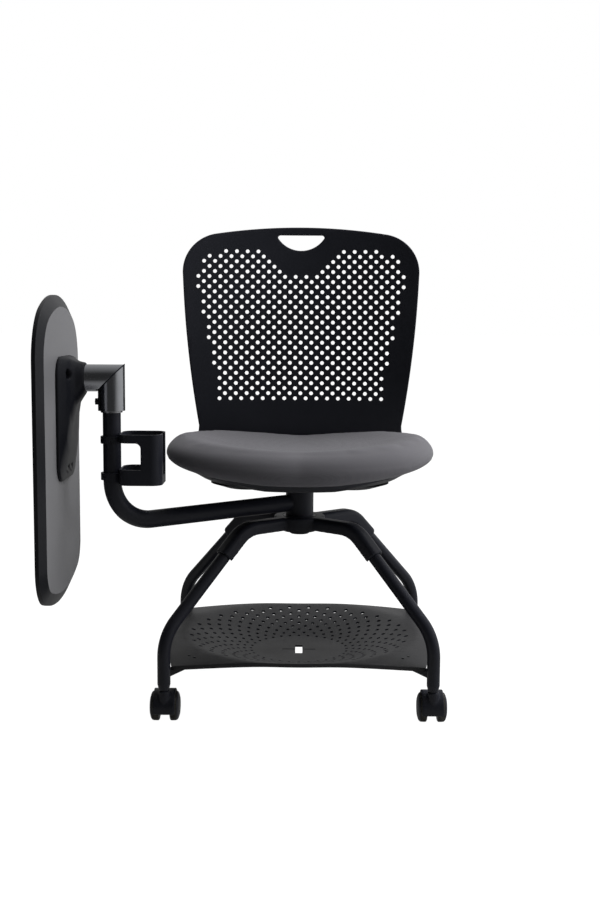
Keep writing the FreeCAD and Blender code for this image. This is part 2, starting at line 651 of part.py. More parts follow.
TRAY_RINGS = 9
HOLES_PER_RING = 30
SCREW_REACH_SHARE = 1.12
SCREW_SPREAD_SHARE = 0.4
FLANGE_WING_SHARE = 1.3


def tray_punches(low, high):
    radii = spaced(v.first_ring_dia / 2, v.last_ring_dia / 2, TRAY_RINGS)
    widths = spaced(v.tray_hole_small, v.tray_hole_large, TRAY_RINGS)
    for ring, (radius, width) in enumerate(zip(radii, widths)):
        for hole in range(HOLES_PER_RING):
            angle = 360.0 * (hole + ring % 2 / 2) / HOLES_PER_RING
            yield tray_punch(width, radius, angle, low, high)


def tray_screw_spots():
    """The two screws of each bracket, one on each side of its plate."""
    for corner, side_x, side_y in CORNERS:
        for side in (-1, 1):
            spot = Vector(v.tray_crest_dia / 2 * SCREW_REACH_SHARE,
                          side * v.bracket_flange * SCREW_SPREAD_SHARE, 0)
            yield corner, leg_turn(side_x, side_y).multVec(spot)


def tray():
    low, high = v.tray_well - OVERRUN, v.tray_crest + OVERRUN
    sheet = dish(v.tray_wall).common(bowed_outline(0, low, high))
    edge = bowed_outline(0, low, high).cut(bowed_outline(v.tray_wall, low, high))
    sheet = sheet.fuse(dish(v.tray_lip).common(edge)).removeSplitter()
    punches = list(tray_punches(low, high))
    punches.append(Part.makeBox(v.tray_key, v.tray_key, high - low,
                                Vector(-v.tray_key / 2, -v.tray_key / 2, low)))
    punches.append(Part.makeBox(v.tray_slot, v.tray_slot_width, high - low,
                                Vector(-v.tray_slot / 2, -v.tray_slot_width / 2, low)))
    for _, spot in tray_screw_spots():
        punches.append(cylinder(v.screw_dia / 2, low, high, spot.x, spot.y))
    return sheet.cut(punches)


def tray_bracket(side_x, side_y, tray_shape):
    """A gusset welded to the leg, with a flange under the tray's corner."""
    corner = math.hypot(v.tray_corner_x, v.tray_corner_y)
    foot = math.hypot(v.leg_reach_x, v.leg_reach_y)
    inner = foot - v.leg_dia / 2 - v.bracket_reach
    crest, fall = v.tray_crest, v.tray_crest - v.tray_shoulder
    under_lip = v.tray_shoulder - v.tray_lip - fall * v.leg_dia / 2 / corner
    flange_end = corner - v.bracket_flange
    profile = [(foot, v.bracket_foot), (foot, under_lip), (flange_end, under_lip),
               (flange_end, crest), (inner, crest), (inner, crest - fall)]
    points = [Vector(r, -v.bracket_wall / 2, z) for r, z in profile]
    plate = Part.Face(Part.makePolygon(points + points[:1])).extrude(Vector(0, v.bracket_wall, 0))
    wing = v.bracket_flange * FLANGE_WING_SHARE
    flange = Part.makeBox(flange_end - inner, wing, v.tray_crest - v.bracket_foot,
                          Vector(inner, -wing / 2, v.bracket_foot))
    above = dish(v.tray_wall, OVERRUN)
    thick = dish(v.tray_wall + v.bracket_wall).cut(above)
    bracket = plate.cut(above).fuse(flange.common(thick)).removeSplitter()
    bracket = bracket.cut(cylinder(v.leg_dia / 2, 0, v.tray_crest, foot))
    bracket.Placement = leg_turn(side_x, side_y)
    for _, spot in tray_screw_spots():
        bracket = bracket.cut(cylinder(v.screw_dia / 2, 0, v.tray_crest, spot.x, spot.y))
    return bracket.cut(tray_shape)


tray_shape = tray()
solid_feature("tray", tray_shape)
for corner, side_x, side_y in CORNERS:
    solid_feature(corner + "_tray_bracket", tray_bracket(side_x, side_y, tray_shape))


def tray_screw(spot):
    """A pan-head screw from below, flush with the sheet above."""
    radius = math.hypot(spot.x, spot.y) + v.screw_head_dia / 2
    edge = math.hypot(v.tray_corner_x, v.tray_corner_y) - v.tray_crest_dia / 2
    drop = (v.tray_crest - v.tray_shoulder) * (radius - v.tray_crest_dia / 2) / edge
    seat = v.tray_crest - drop - v.tray_wall - v.bracket_wall
    head = cylinder(v.screw_head_dia / 2, seat - v.screw_head, seat, spot.x, spot.y)
    return head.fuse(cylinder(v.screw_dia / 2, seat, seat + v.bracket_wall + v.tray_wall, spot.x, spot.y))


solid_feature("tray_screws", Part.makeCompound([tray_screw(spot) for _, spot in tray_screw_spots()]))


# Swivel sleeve and the arm that it carries

SLEEVE_FOOT = "(sizes.hub_head + sizes.washer_depth)"
SLEEVE_HEAD = "(sizes.seat_well - sizes.shell_wall - sizes.plate_wall)"
sleeve_head = v.seat_well - v.shell_wall - v.plate_wall
turned_piece("swivel_sleeve", [
    ("sizes.spindle_dia / 2 + sizes.pin_fit", SLEEVE_FOOT),
    ("sizes.sleeve_dia / 2", SLEEVE_FOOT),
    ("sizes.sleeve_dia / 2", SLEEVE_HEAD),
    ("0", SLEEVE_HEAD),
    ("0", "sizes.spindle_head + sizes.running_gap"),
    ("sizes.spindle_dia / 2 + sizes.pin_fit", "sizes.spindle_head + sizes.running_gap")])

POST = Vector(-v.post_x, -v.post_y, 0)
POST_REACH = "sqrt(sizes.post_x ^ 2 + sizes.post_y ^ 2)"


def arm_tube():
    """A round tube welded to the sleeve, level at first, then bent up into the post."""
    owner = new_body("arm_tube")
    path = new_sketch(owner, "XZ_Plane")
    draw_outline(path, [
        ("sizes.sleeve_dia / 4", "sizes.arm_height"),
        (POST_REACH + " - sizes.arm_bend", "sizes.arm_height", "sizes.arm_bend"),
        (POST_REACH, "sizes.arm_height + sizes.arm_bend"),
        (POST_REACH, "sizes.post_head")], closed=False)
    section = new_sketch(owner, "YZ_Plane", "sizes.sleeve_dia / 4")
    draw_circle(section, "0", "sizes.arm_height", "sizes.arm_dia / 2")
    pipe(owner, path, section)
    cope = new_sketch(owner, "XY_Plane", SLEEVE_FOOT)
    draw_circle(cope, "0", "0", "sizes.sleeve_dia / 2")
    pocket(owner, cope, SLEEVE_HEAD + " - " + SLEEVE_FOOT, reverse=True)
    turned = math.degrees(math.atan2(POST.y, POST.x))
    keep(owner, "arm_tube", Placement(Vector(), Rotation(UP, turned)))


arm_tube()


# Seat: plate, cover below, shell, pad and the screws that join them

def seat_plate():
    owner = new_body("seat_plate")
    drawn = new_sketch(owner, "XY_Plane", SLEEVE_HEAD)
    draw_outline(drawn, rectangle("-sizes.plate_width / 2", "-sizes.plate_depth / 2",
                                  "sizes.plate_width / 2", "sizes.plate_depth / 2"))
    pad(owner, drawn, "sizes.plate_wall")
    holes = new_sketch(owner, "XY_Plane", SLEEVE_HEAD)
    for side_x in ("-", ""):
        for side_y in ("-", ""):
            draw_circle(holes, side_x + "sizes.plate_screw_span_x / 2",
                        side_y + "sizes.plate_screw_span_y / 2", "sizes.plate_screw_dia / 2")
    pocket(owner, holes, "sizes.plate_wall", reverse=True)
    keep(owner, "seat_plate")


seat_plate()
plate_spots = [(x * v.plate_screw_span_x / 2, y * v.plate_screw_span_y / 2)
               for x in (-1, 1) for y in (-1, 1)]
shell_foot = v.seat_well - v.shell_wall
solid_feature("seat_plate_screws", Part.makeCompound([
    cylinder(v.plate_screw_head_dia / 2, sleeve_head - v.plate_screw_head, sleeve_head, x, y).fuse(
        cylinder(v.plate_screw_dia / 2, sleeve_head, v.seat_well - v.running_gap, x, y))
    for x, y in plate_spots]))


def underseat_cover():
    """A shallow moulded dish under the shell that hides the plate; the sleeve passes through it."""
    half_x, half_y = v.underseat_width / 2, v.underseat_depth / 2

    def bowed(inset, height):
        x, y = half_x - inset, half_y - inset
        flat_x, flat_y = half_x - v.underseat_corner, half_y - v.underseat_corner
        corner = [Vector(-flat_x, -y, height), Vector(flat_x, -y, height),
                  Vector(x, -flat_y, height), Vector(x, flat_y, height),
                  Vector(flat_x, y, height), Vector(-flat_x, y, height),
                  Vector(-x, flat_y, height), Vector(-x, -flat_y, height)]
        edges = []
        for i in range(8):
            start, finish = corner[i], corner[(i + 1) % 8]
            if i % 2 == 0:
                edges.append(Part.makeLine(start, finish))
                continue
            middle = (start + finish) / 2
            out = Vector(math.copysign(x, middle.x), math.copysign(y, middle.y), height) - middle
            edges.append(Part.Arc(start, middle + out * (math.sqrt(2) - 1), finish).toShape())
        return Part.Wire(edges)

    draft = v.underseat_draft
    outer = Part.makeLoft([bowed(draft, v.underseat_foot), bowed(0, shell_foot)], True, True)
    inner = Part.makeLoft([bowed(draft + v.underseat_wall, v.underseat_foot + v.underseat_wall),
                           bowed(v.underseat_wall, shell_foot)], True, True)
    hole = cylinder(v.sleeve_dia / 2 + v.press_gap, 0, shell_foot)
    return outer.cut(inner).cut(hole)


solid_feature("underseat_cover", underseat_cover())

# The pad as rings, from its underside over the rolled side to the middle of its top. Each row holds
# shares at the front, front corner, side, rear corner and rear: of the pad's outline seen from
# above, then of its height. The first and the last ring are level.
PAD_REACH_SHARES = [
    (0.955, 0.86, 0.74, 0.84, 0.93),
    (0.98, 0.95, 0.92, 0.95, 0.97),
    (0.995, 0.99, 0.985, 0.985, 0.985),
    (1.0, 1.0, 1.0, 1.0, 1.0),
    (0.965, 0.965, 0.965, 0.965, 0.975),
    (0.90, 0.90, 0.91, 0.91, 0.93),
    (0.81, 0.81, 0.83, 0.83, 0.85),
    (0.68, 0.68, 0.68, 0.68, 0.70),
    (0.42, 0.42, 0.42, 0.42, 0.42),
    (0.12, 0.12, 0.12, 0.12, 0.12)]
PAD_RISE_SHARES = [
    (0.0, 0.0, 0.0, 0.0, 0.0),
    (0.04, 0.20, 0.50, 0.50, 0.45),
    (0.14, 0.37, 0.78, 0.74, 0.72),
    (0.30, 0.57, 0.95, 0.90, 0.86),
    (0.72, 0.98, 1.24, 1.18, 0.97),
    (0.99, 1.21, 1.40, 1.29, 1.01),
    (1.11, 1.295, 1.42, 1.28, 1.0),
    (1.09, 1.20, 1.26, 1.17, 0.99),
    (1.02, 1.05, 1.07, 1.04, 0.97),
    (0.96, 0.96, 0.96, 0.96, 0.96)]
SEAT_OVAL_POWER = 2.3
RING_POINTS = 16
PAD_LOFT_DEGREE = 2
SHELL_RINGS = 3
SHELL_CORE_SHARES = (0.3, 0.6)


def seat_ring(reaches, rises, grow=0.0, drop=0.0):
    """A closed line round the seat: eight arcs through shares given for its front, sides and rear."""
    tall = v.seat_crown - v.seat_well
    spots = []
    for step in range(RING_POINTS):
        angle = 2 * math.pi / RING_POINTS * step - math.pi / 2
        place = min(step, RING_POINTS - step) / 2
        low, high = math.floor(place), math.ceil(place)
        reach = (reaches[low] + reaches[high]) / 2
        rise = (rises[low] + rises[high]) / 2
        across, along = math.cos(angle), math.sin(angle)
        x = math.copysign(abs(across) ** (2 / SEAT_OVAL_POWER), across)
        y = math.copysign(abs(along) ** (2 / SEAT_OVAL_POWER), along)
        spots.append(Vector(x * (v.seat_width / 2 * reach + grow),
                            y * (v.seat_depth / 2 * reach + grow) - v.seat_middle,
                            v.seat_well + tall * rise - drop))
    return Part.Wire([Part.Arc(spots[i], spots[i + 1], spots[(i + 2) % RING_POINTS]).toShape()
                      for i in range(0, RING_POINTS, 2)])


def seat_shell_block():
    """The shell before the pad is taken out of it, with the lug that the back is screwed to."""
    rings = [seat_ring(PAD_REACH_SHARES[row], PAD_RISE_SHARES[row], v.shell_wall / 2,
                       v.shell_wall if row + 1 < SHELL_RINGS else 0.0) for row in range(SHELL_RINGS)]
    reach, rise = SHELL_CORE_SHARES
    rings.append(seat_ring([reach] * len(PAD_REACH_SHARES[0]), [rise] * len(PAD_RISE_SHARES[0])))
    rear = v.seat_depth / 2 - v.seat_middle
    lug = Part.makeBox(v.rear_lug, v.back_setback - rear + 2 * v.shell_wall, v.seat_crown - v.seat_well,
                       Vector(-v.rear_lug / 2, rear - v.shell_wall, v.seat_well))
    return Part.makeLoft(rings, True, True).fuse(lug)


def back_reach(height):
    """Share of the way from the pad up to the top of the back."""
    return max(0.0, (height - v.seat_crown) / (v.back_top - v.seat_crown))


BACK_SWEEP_POWER = 1.4
LOW_DISH_SHARE = 0.5
DISH_RISE_SHARE = 1.6


def back_front(across, height):
    """Where the front face of the back lies: it leans back and its sides come forward."""
    share = back_reach(height)
    rise = math.sin(math.pi / 2 * min(1.0, DISH_RISE_SHARE * share))
    dished = v.back_dish * (LOW_DISH_SHARE + (1 - LOW_DISH_SHARE) * rise)
    return v.back_setback + v.back_lean * share ** BACK_SWEEP_POWER \
        - dished * (2 * across / v.back_width) ** 2


SLAB_COLUMNS = 9
SLAB_ROWS = 14


def back_slab():
    """The curved sheet that the back is cut from."""
    reach = v.back_width / 2 + OVERRUN
    rows = [[Vector(x, back_front(x, z), z) for x in spaced(-reach, reach, SLAB_COLUMNS)]
            for z in spaced(v.back_foot - OVERRUN, v.back_top + OVERRUN, SLAB_ROWS)]
    surface = Part.BSplineSurface()
    surface.interpolate(rows)
    return surface.toShape().extrude(Vector(0, v.shell_wall, 0))


# Where the back's upper corner starts and where it is roundest: shares of the half width, and of
# the drop from the top to the shoulder; then the fullness of its sides and the curve of its flare
TOP_CORNER_SHARES = (0.74, 0.15)
ROUND_CORNER_SHARES = (0.934, 0.44)
SIDE_FULLNESS_SHARE = 0.022
FLARE_CURVE_SHARES = (0.15, 0.3)
BACK_TUCK_SHARE = 0.8


def back_outline():
    """The back seen from in front: wide shoulders, a waist and a flare down to the pad."""
    wide, waist, flare = v.back_width / 2, v.back_waist / 2, v.back_flare / 2
    drop = v.back_top - v.back_shoulder
    neck = v.back_waist_height - v.seat_crown
    points = [
        Vector(wide * TOP_CORNER_SHARES[0], 0, v.back_top - drop * TOP_CORNER_SHARES[1]),
        Vector(wide * ROUND_CORNER_SHARES[0], 0, v.back_top - drop * ROUND_CORNER_SHARES[1]),
        Vector(wide, 0, v.back_shoulder),
        Vector((wide + waist) / 2 + waist * SIDE_FULLNESS_SHARE, 0,
               (v.back_shoulder + v.back_waist_height) / 2),
        Vector(waist, 0, v.back_waist_height),
        Vector(waist + (flare - waist) * FLARE_CURVE_SHARES[0], 0,
               v.seat_crown + neck * FLARE_CURVE_SHARES[1]),
        Vector(flare, 0, v.seat_crown - v.seat_roll)]
    low = Vector(flare * BACK_TUCK_SHARE, 0, v.back_foot)

    def mirrored(point):
        return Vector(-point.x, point.y, point.z)

    right = [Part.Arc(points[0], points[1], points[2]).toShape(),
             Part.Arc(points[2], points[3], points[4]).toShape(),
             Part.Arc(points[4], points[5], points[6]).toShape(),
             Part.makeLine(points[6], low)]
    left = [Part.makeLine(mirrored(low), mirrored(points[6])),
            Part.Arc(mirrored(points[6]), mirrored(points[5]), mirrored(points[4])).toShape(),
            Part.Arc(mirrored(points[4]), mirrored(points[3]), mirrored(points[2])).toShape(),
            Part.Arc(mirrored(points[2]), mirrored(points[1]), mirrored(points[0])).toShape()]
    top = Part.Arc(mirrored(points[0]), Vector(0, 0, v.back_top), points[0]).toShape()
    return Part.Wire([top] + right + [Part.makeLine(low, mirrored(low))] + left)


def through_back(wire):
    """A block along Y through the whole depth of the back, from an outline drawn at Y = 0."""
    return Part.Face(wire).extrude(Vector(0, 2 * v.back_setback, 0))


FIELD_TAPER_SHARE = 1.74
FIELD_CORNER_POWER = 4
NOTCH_ROWS = 5
NOTCH_COLUMNS = 8


def field_half(height):
    """Half the width of the perforated field at a height."""
    last = v.first_row - (v.row_count - 1) * v.row_pitch
    slope = (v.back_width - v.back_waist) / 2 / (v.back_shoulder - v.back_waist_height)
    taper = v.field_foot / 2 + (height - last) * slope * FIELD_TAPER_SHARE
    over = max(0.0, (height - v.field_shoulder) / (v.first_row - v.field_shoulder))
    return min(taper, v.field_width / 2 - v.field_corner * over ** FIELD_CORNER_POWER)


def back_holes():
    """Centres of the holes: every second column in each row, less a V under the hand slot."""
    outermost = math.ceil(v.field_width / 2 / v.column_pitch)
    for row in range(int(v.row_count)):
        height = v.first_row - row * v.row_pitch
        for column in range(-outermost, outermost + 1):
            across = column * v.column_pitch
            if (column + row) % 2 or abs(across) > field_half(height):
                continue
            if row < NOTCH_ROWS and abs(column) < NOTCH_COLUMNS - row:
                continue
            yield across, height


def diamond(across, height):
    """A hole with the area of the round one."""
    half = v.perforation_dia / 2 * math.sqrt(math.pi / 2)
    points = [Vector(across + half, 0, height), Vector(across, 0, height + half),
              Vector(across - half, 0, height), Vector(across, 0, height - half)]
    return through_back(Part.makePolygon(points + points[:1]))


def grip_slot():
    """The hand slot: a flat upper edge over a deep curve, with rounded tips."""
    half, tip = v.grip_width / 2, v.grip_corner
    high, low = v.grip_top, v.grip_top - v.grip_height
    corners = [Vector(half - tip, 0, high), Vector(tip - half, 0, high)]
    left, right = Vector(-half, 0, high - tip), Vector(half, 0, high - tip)
    ease = tip * (1 - math.sqrt(2) / 2)
    return through_back(Part.Wire([
        Part.makeLine(corners[0], corners[1]),
        Part.Arc(corners[1], Vector(-half + ease, 0, high - ease), left).toShape(),
        Part.Arc(left, Vector(0, 0, low), right).toShape(),
        Part.Arc(right, Vector(half - ease, 0, high - ease), corners[0]).toShape()]))


def back_screw(across, height):
    """A screw from behind the back into the shell's rear wall."""
    face = back_front(across, height) + v.shell_wall
    head = Part.makeCylinder(v.plate_screw_head_dia / 2, v.plate_screw_head + v.shell_wall,
                             Vector(across, face - v.shell_wall, height), Vector(0, 1, 0))
    tip = Vector(across, face - 2 * v.shell_wall + v.running_gap, height)
    shank = Part.makeCylinder(v.plate_screw_dia / 2, 2 * v.shell_wall, tip, Vector(0, 1, 0))
    return head, shank


back_plain = back_slab().common(through_back(back_outline()))
pad_shape = Part.makeLoft([seat_ring(*ring) for ring in zip(PAD_REACH_SHARES, PAD_RISE_SHARES)],
                          True, False, False, PAD_LOFT_DEGREE)
shell_shape = seat_shell_block().cut(pad_shape).cut(back_plain)
for x, y in plate_spots:
    shell_shape = shell_shape.cut(cylinder(v.plate_screw_dia / 2, shell_foot, v.seat_well, x, y))

screw_rows = [(v.seat_well + v.back_foot) / 2 + v.back_screw_span_z * step for step in (1, 2)]
back_screws = [back_screw(side * v.back_screw_span_x / 2, height)
               for side in (-1, 1) for height in screw_rows]
shanks = [shank for _, shank in back_screws]
shell_shape = max(shell_shape.cut(shanks).Solids, key=lambda solid: solid.Volume)
back_shape = back_plain.cut(shanks + [grip_slot()] + [diamond(*centre) for centre in back_holes()])
solid_feature("seat_pad", pad_shape)
solid_feature("seat_shell", shell_shape)
solid_feature("back_shell", back_shape)
solid_feature("back_screws", Part.makeCompound([
    max(head.cut(back_plain).Solids, key=lambda solid: solid.CenterOfMass.y).fuse(shank)
    for head, shank in back_screws]))


# Cup holder: an open ring with a ledge, clipped round the post

def cup_holder():
    owner = new_body("cup_holder")
    near = "(sizes.arm_dia / 2)"
    far = "(sizes.arm_dia / 2 + sizes.cup_reach)"
    side = "(sizes.cup_width / 2)"
    round_corner = "sizes.cup_corner"

    def ring(drawn, inset, bend):
        low, high = "(%s + %s)" % (near, inset), "(%s - %s)" % (far, inset)
        flank = "(%s - %s)" % (side, inset)
        draw_outline(drawn, [
            ("%s + %s" % (low, bend), "-" + flank), ("%s - %s" % (high, bend), "-" + flank, bend),
            (high, "%s - %s" % (bend, flank)), (high, "%s - %s" % (flank, bend), bend),
            ("%s - %s" % (high, bend), flank), ("%s + %s" % (low, bend), flank, bend),
            (low, "%s - %s" % (flank, bend)), (low, "%s - %s" % (bend, flank), bend)])

    outside = new_sketch(owner, "XY_Plane", "sizes.cup_foot")
    ring(outside, "0", round_corner)
    pad(owner, outside, "sizes.cup_head - sizes.cup_foot")
    for height in ("sizes.cup_foot + sizes.clip_margin",
                   "sizes.cup_head - sizes.clip_margin - sizes.clip_height"):
        clip = new_sketch(owner, "XY_Plane", height)
        draw_circle(clip, "0", "0", "sizes.arm_dia / 2 + sizes.clip_wall")
        pad(owner, clip, "sizes.clip_height")
    inside = new_sketch(owner, "XY_Plane", "sizes.cup_foot + sizes.cup_wall")
    ring(inside, "sizes.cup_wall", "(%s - sizes.cup_wall)" % round_corner)
    pocket(owner, inside, "sizes.cup_head - sizes.cup_foot", reverse=True)
    floor = new_sketch(owner, "XY_Plane", "sizes.cup_foot")
    ring(floor, "sizes.ledge", "(%s - sizes.ledge)" % round_corner)
    pocket(owner, floor, "sizes.cup_wall", reverse=True)
    post = new_sketch(owner, "XY_Plane", "sizes.cup_foot")
    draw_circle(post, "0", "0", "sizes.arm_dia / 2 + sizes.press_gap")
    pocket(owner, post, "sizes.cup_head - sizes.cup_foot", reverse=True)
    window_end = "(%s + sizes.window_width)" % near
    window = new_sketch(owner, "XZ_Plane", "-sizes.cup_width")
    draw_outline(window, [
        ("0", "sizes.window_foot"), (window_end, "sizes.window_foot"),
        (window_end, "sizes.window_head - sizes.window_corner", "sizes.window_corner"),
        (window_end + " - sizes.window_corner", "sizes.window_head"), ("0", "sizes.window_head")])
    pocket(owner, window, "2 * sizes.cup_width", reverse=True)
    slot = new_sketch(owner, "YZ_Plane", "%s - sizes.cup_corner" % far)
    draw_outline(slot, rectangle("-sizes.mug_slot / 2", "sizes.slot_foot",
                                 "sizes.mug_slot / 2", "sizes.cup_head + sizes.cup_wall"))
    pocket(owner, slot, "2 * sizes.cup_corner", reverse=True)
    keep(owner, "cup_holder", Placement(POST, Rotation()))


cup_holder()
turned_piece("post_bush", [
    ("sizes.arm_dia / 2 + sizes.press_gap", "sizes.elbow_foot - sizes.bush_depth"),
    ("sizes.arm_dia / 2 + sizes.bush_depth", "sizes.elbow_foot - sizes.bush_depth"),
    ("sizes.arm_dia / 2 + sizes.bush_depth", "sizes.elbow_foot"),
    ("sizes.arm_dia / 2 + sizes.press_gap", "sizes.elbow_foot")], Placement(POST, Rotation()))


# Elbow: two mitred halves that meet on a washer and turn on a pin square to the mitre

ELBOW = Vector(-v.post_x, -v.post_y, v.elbow_height)
MITRE = Vector(-1, 0, 1).normalize()
elbow_reach = 2 * v.elbow_dia


def mitre_block(offset):
    """Everything on the tablet's side of the mitre, from a distance along its normal."""
    block = Part.makeBox(2 * elbow_reach, 2 * elbow_reach, 2 * elbow_reach,
                         Vector(-elbow_reach, -elbow_reach, 0))
    block.Placement = Placement(ELBOW + MITRE * offset, Rotation(UP, MITRE))
    return block


def mitre_rod(radius, low, high):
    return Part.makeCylinder(radius, high - low, ELBOW + MITRE * low, MITRE)


half_washer = v.mitre_washer / 2
lower = cylinder(v.elbow_dia / 2, v.elbow_foot, v.elbow_height + v.elbow_dia, ELBOW.x, ELBOW.y)
lower = lower.cut(mitre_block(-half_washer))
lower = lower.cut(cylinder(v.arm_dia / 2 + v.pin_fit, v.elbow_foot, v.post_head + v.running_gap,
                           ELBOW.x, ELBOW.y))
lower = lower.cut(mitre_rod(v.mitre_pin_dia / 2 + v.pin_fit, -v.mitre_pin_reach - v.running_gap, 0))
OUT = Vector(-1, 0, 0)
bolt_seat = Vector(ELBOW.x - v.elbow_dia / 2 + v.bolt_dia / 4, ELBOW.y, v.bolt_height)
spot_face = Part.makeCylinder(v.bolt_head_width / 2 + v.bolt_dia / 4, v.bolt_dia, bolt_seat, OUT)
shank_long = bolt_seat.distanceToPoint(Vector(ELBOW.x, ELBOW.y, v.bolt_height)) \
    - v.arm_dia / 2 - v.running_gap
shank = Part.makeCylinder(v.bolt_dia / 2, shank_long, bolt_seat, Vector(1, 0, 0))
solid_feature("elbow_lower", lower.cut(spot_face).cut(shank))
corners = [bolt_seat + Vector(0, math.cos(turned), math.sin(turned)) * (v.bolt_head_width / 2)
           for turned in (math.pi / 3 * step for step in range(7))]
solid_feature("clamp_bolt", Part.Face(Part.makePolygon(corners)).extrude(OUT * v.bolt_head).fuse(shank))

mitre_slice = cylinder(v.elbow_dia / 2, v.elbow_foot, v.elbow_height + v.elbow_dia, ELBOW.x, ELBOW.y)
mitre_slice = mitre_slice.common(mitre_block(-half_washer)).cut(mitre_block(half_washer))
pin_bore = mitre_rod(v.mitre_pin_dia / 2 + v.press_gap, -v.mitre_pin_reach,
                     v.mitre_pin_reach + v.running_gap)
solid_feature("mitre_washer", mitre_slice.cut(pin_bore))
solid_feature("mitre_pin", mitre_rod(v.mitre_pin_dia / 2, -v.mitre_pin_reach, v.mitre_pin_reach))
upper = Part.makeCylinder(v.elbow_dia / 2, v.stub_reach + v.elbow_dia,
                          ELBOW + Vector(v.elbow_dia, 0, 0), OUT)
solid_feature("elbow_upper", upper.common(mitre_block(half_washer)).cut(pin_bore))


# Tablet bracket: a casting that spreads from its socket to a long foot under the tablet

# The bracket's sections between its foot and its socket: shares of the way from the tablet to the
# socket, then from the foot's outline to the socket's (upper end, lower end, sides, corners)
BRACKET_REACH_SHARES = [0.38, 0.48, 0.64]
BRACKET_BLEND_SHARES = [(0.30, 0.36, 0.42, 0.30), (0.55, 0.66, 0.66, 0.6), (0.80, 0.87, 0.85, 0.9)]
BRACKET_DRAFT_SHARE = 0.25
SOCKET_CORNER_SHARE = 0.8

tablet_back = v.tablet_reach - v.tablet_wall
bracket_low = v.bracket_top - v.bracket_length
socket_half = v.elbow_dia / 2 + v.socket_wall


def bracket_section(reach, high, low, half, corner):
    """A rounded rectangle at a distance from the post: four quarter turns and four lines."""
    ease = corner * (1 - math.sqrt(2) / 2)

    def at(across, height):
        return Vector(-v.post_x - reach, -v.post_y + across, height)

    edges = []
    for side, upper, lower in ((1, high, low), (-1, low, high)):
        turn = math.copysign(corner, upper - lower)
        bend = math.copysign(ease, upper - lower)
        first, last = at(side * half, upper - turn), at(side * (half - corner), upper)
        second, end = at(side * (corner - half), upper), at(-side * half, upper - turn)
        edges += [
            Part.Arc(first, at(side * (half - ease), upper - bend), last).toShape(),
            Part.makeLine(last, second),
            Part.Arc(second, at(side * (ease - half), upper - bend), end).toShape(),
            Part.makeLine(end, at(-side * half, lower + turn))]
    return Part.Wire(edges)


def socket_ring(reach):
    """The round mouth of the socket, as eight arcs that follow the section's turns and lines."""
    x = -v.post_x - reach
    spots = [Vector(x, -v.post_y + socket_half * math.cos(a), v.elbow_height + socket_half * math.sin(a))
             for a in (2 * math.pi / RING_POINTS * (step + 1) for step in range(RING_POINTS + 1))]
    return Part.Wire([Part.Arc(spots[i], spots[i + 1], spots[i + 2]).toShape()
                      for i in range(0, RING_POINTS, 2)])


def blend(first, last, share):
    return first + (last - first) * share


def bracket_stations(wall):
    """The sections between foot and socket, drawn in by a wall for the hollow inside."""
    for reach_share, (top, foot, side, corner) in zip(BRACKET_REACH_SHARES, BRACKET_BLEND_SHARES):
        yield bracket_section(
            blend(tablet_back, v.socket_reach, reach_share) + wall,
            blend(v.bracket_top, v.elbow_height + socket_half, top) - wall,
            blend(bracket_low, v.elbow_height - socket_half, foot) + wall,
            blend(v.bracket_width / 2, socket_half, side) - wall,
            blend(v.bracket_corner, socket_half * SOCKET_CORNER_SHARE, corner) - wall)


def bracket_foot(reach, inset):
    return bracket_section(reach, v.bracket_top - inset, bracket_low + inset,
                           v.bracket_width / 2 - inset, v.bracket_corner - inset)


bracket = Part.makeLoft(
    [bracket_foot(tablet_back, 0), bracket_foot(tablet_back - v.bracket_edge,
                                                v.bracket_edge * BRACKET_DRAFT_SHARE)]
    + list(bracket_stations(0)) + [socket_ring(v.socket_reach)], True, True)
bracket_core = Part.makeLoft([bracket_foot(tablet_back, v.casting_wall)]
                             + list(bracket_stations(v.casting_wall))[:2], True, True)
socket = Part.makeCylinder(v.elbow_dia / 2 + v.press_gap, v.stub_reach - v.socket_reach + v.press_gap,
                           ELBOW + OUT * v.socket_reach, OUT)

screw_floor = tablet_back - v.bracket_edge
screw_rows = [(v.bracket_screw_span, v.bracket_top - v.bracket_screw_drop),
              (v.tail_screw_span, bracket_low + v.tail_screw_rise)]
recesses, screws, bosses = [], [], []
for span, height in screw_rows:
    for side in (-1, 1):
        spot = Vector(-v.post_x - screw_floor, -v.post_y + side * span / 2, height)
        recesses.append(Part.makeCylinder(v.bracket_well_dia / 2, tablet_back, spot, Vector(1, 0, 0)))
        bosses.append(Part.makeCylinder(v.bracket_well_dia / 2 + v.casting_wall, tablet_back,
                                        spot + OUT * v.bracket_edge, Vector(1, 0, 0)))
        head = Part.makeCylinder(v.screw_head_dia / 2, v.screw_head, spot, Vector(1, 0, 0))
        shank = Part.makeCylinder(v.screw_dia / 2, v.bracket_edge + v.tablet_wall / 2, spot, OUT)
        screws.append((head, shank))
shanks = [shank for _, shank in screws]
solid_feature("tablet_bracket", bracket.cut([bracket_core.cut(bosses), socket] + recesses + shanks))
solid_feature("bracket_screws", Part.makeCompound([head.fuse(shank) for head, shank in screws]))


# Tablet: a moulded board with a wide bevel round its underside

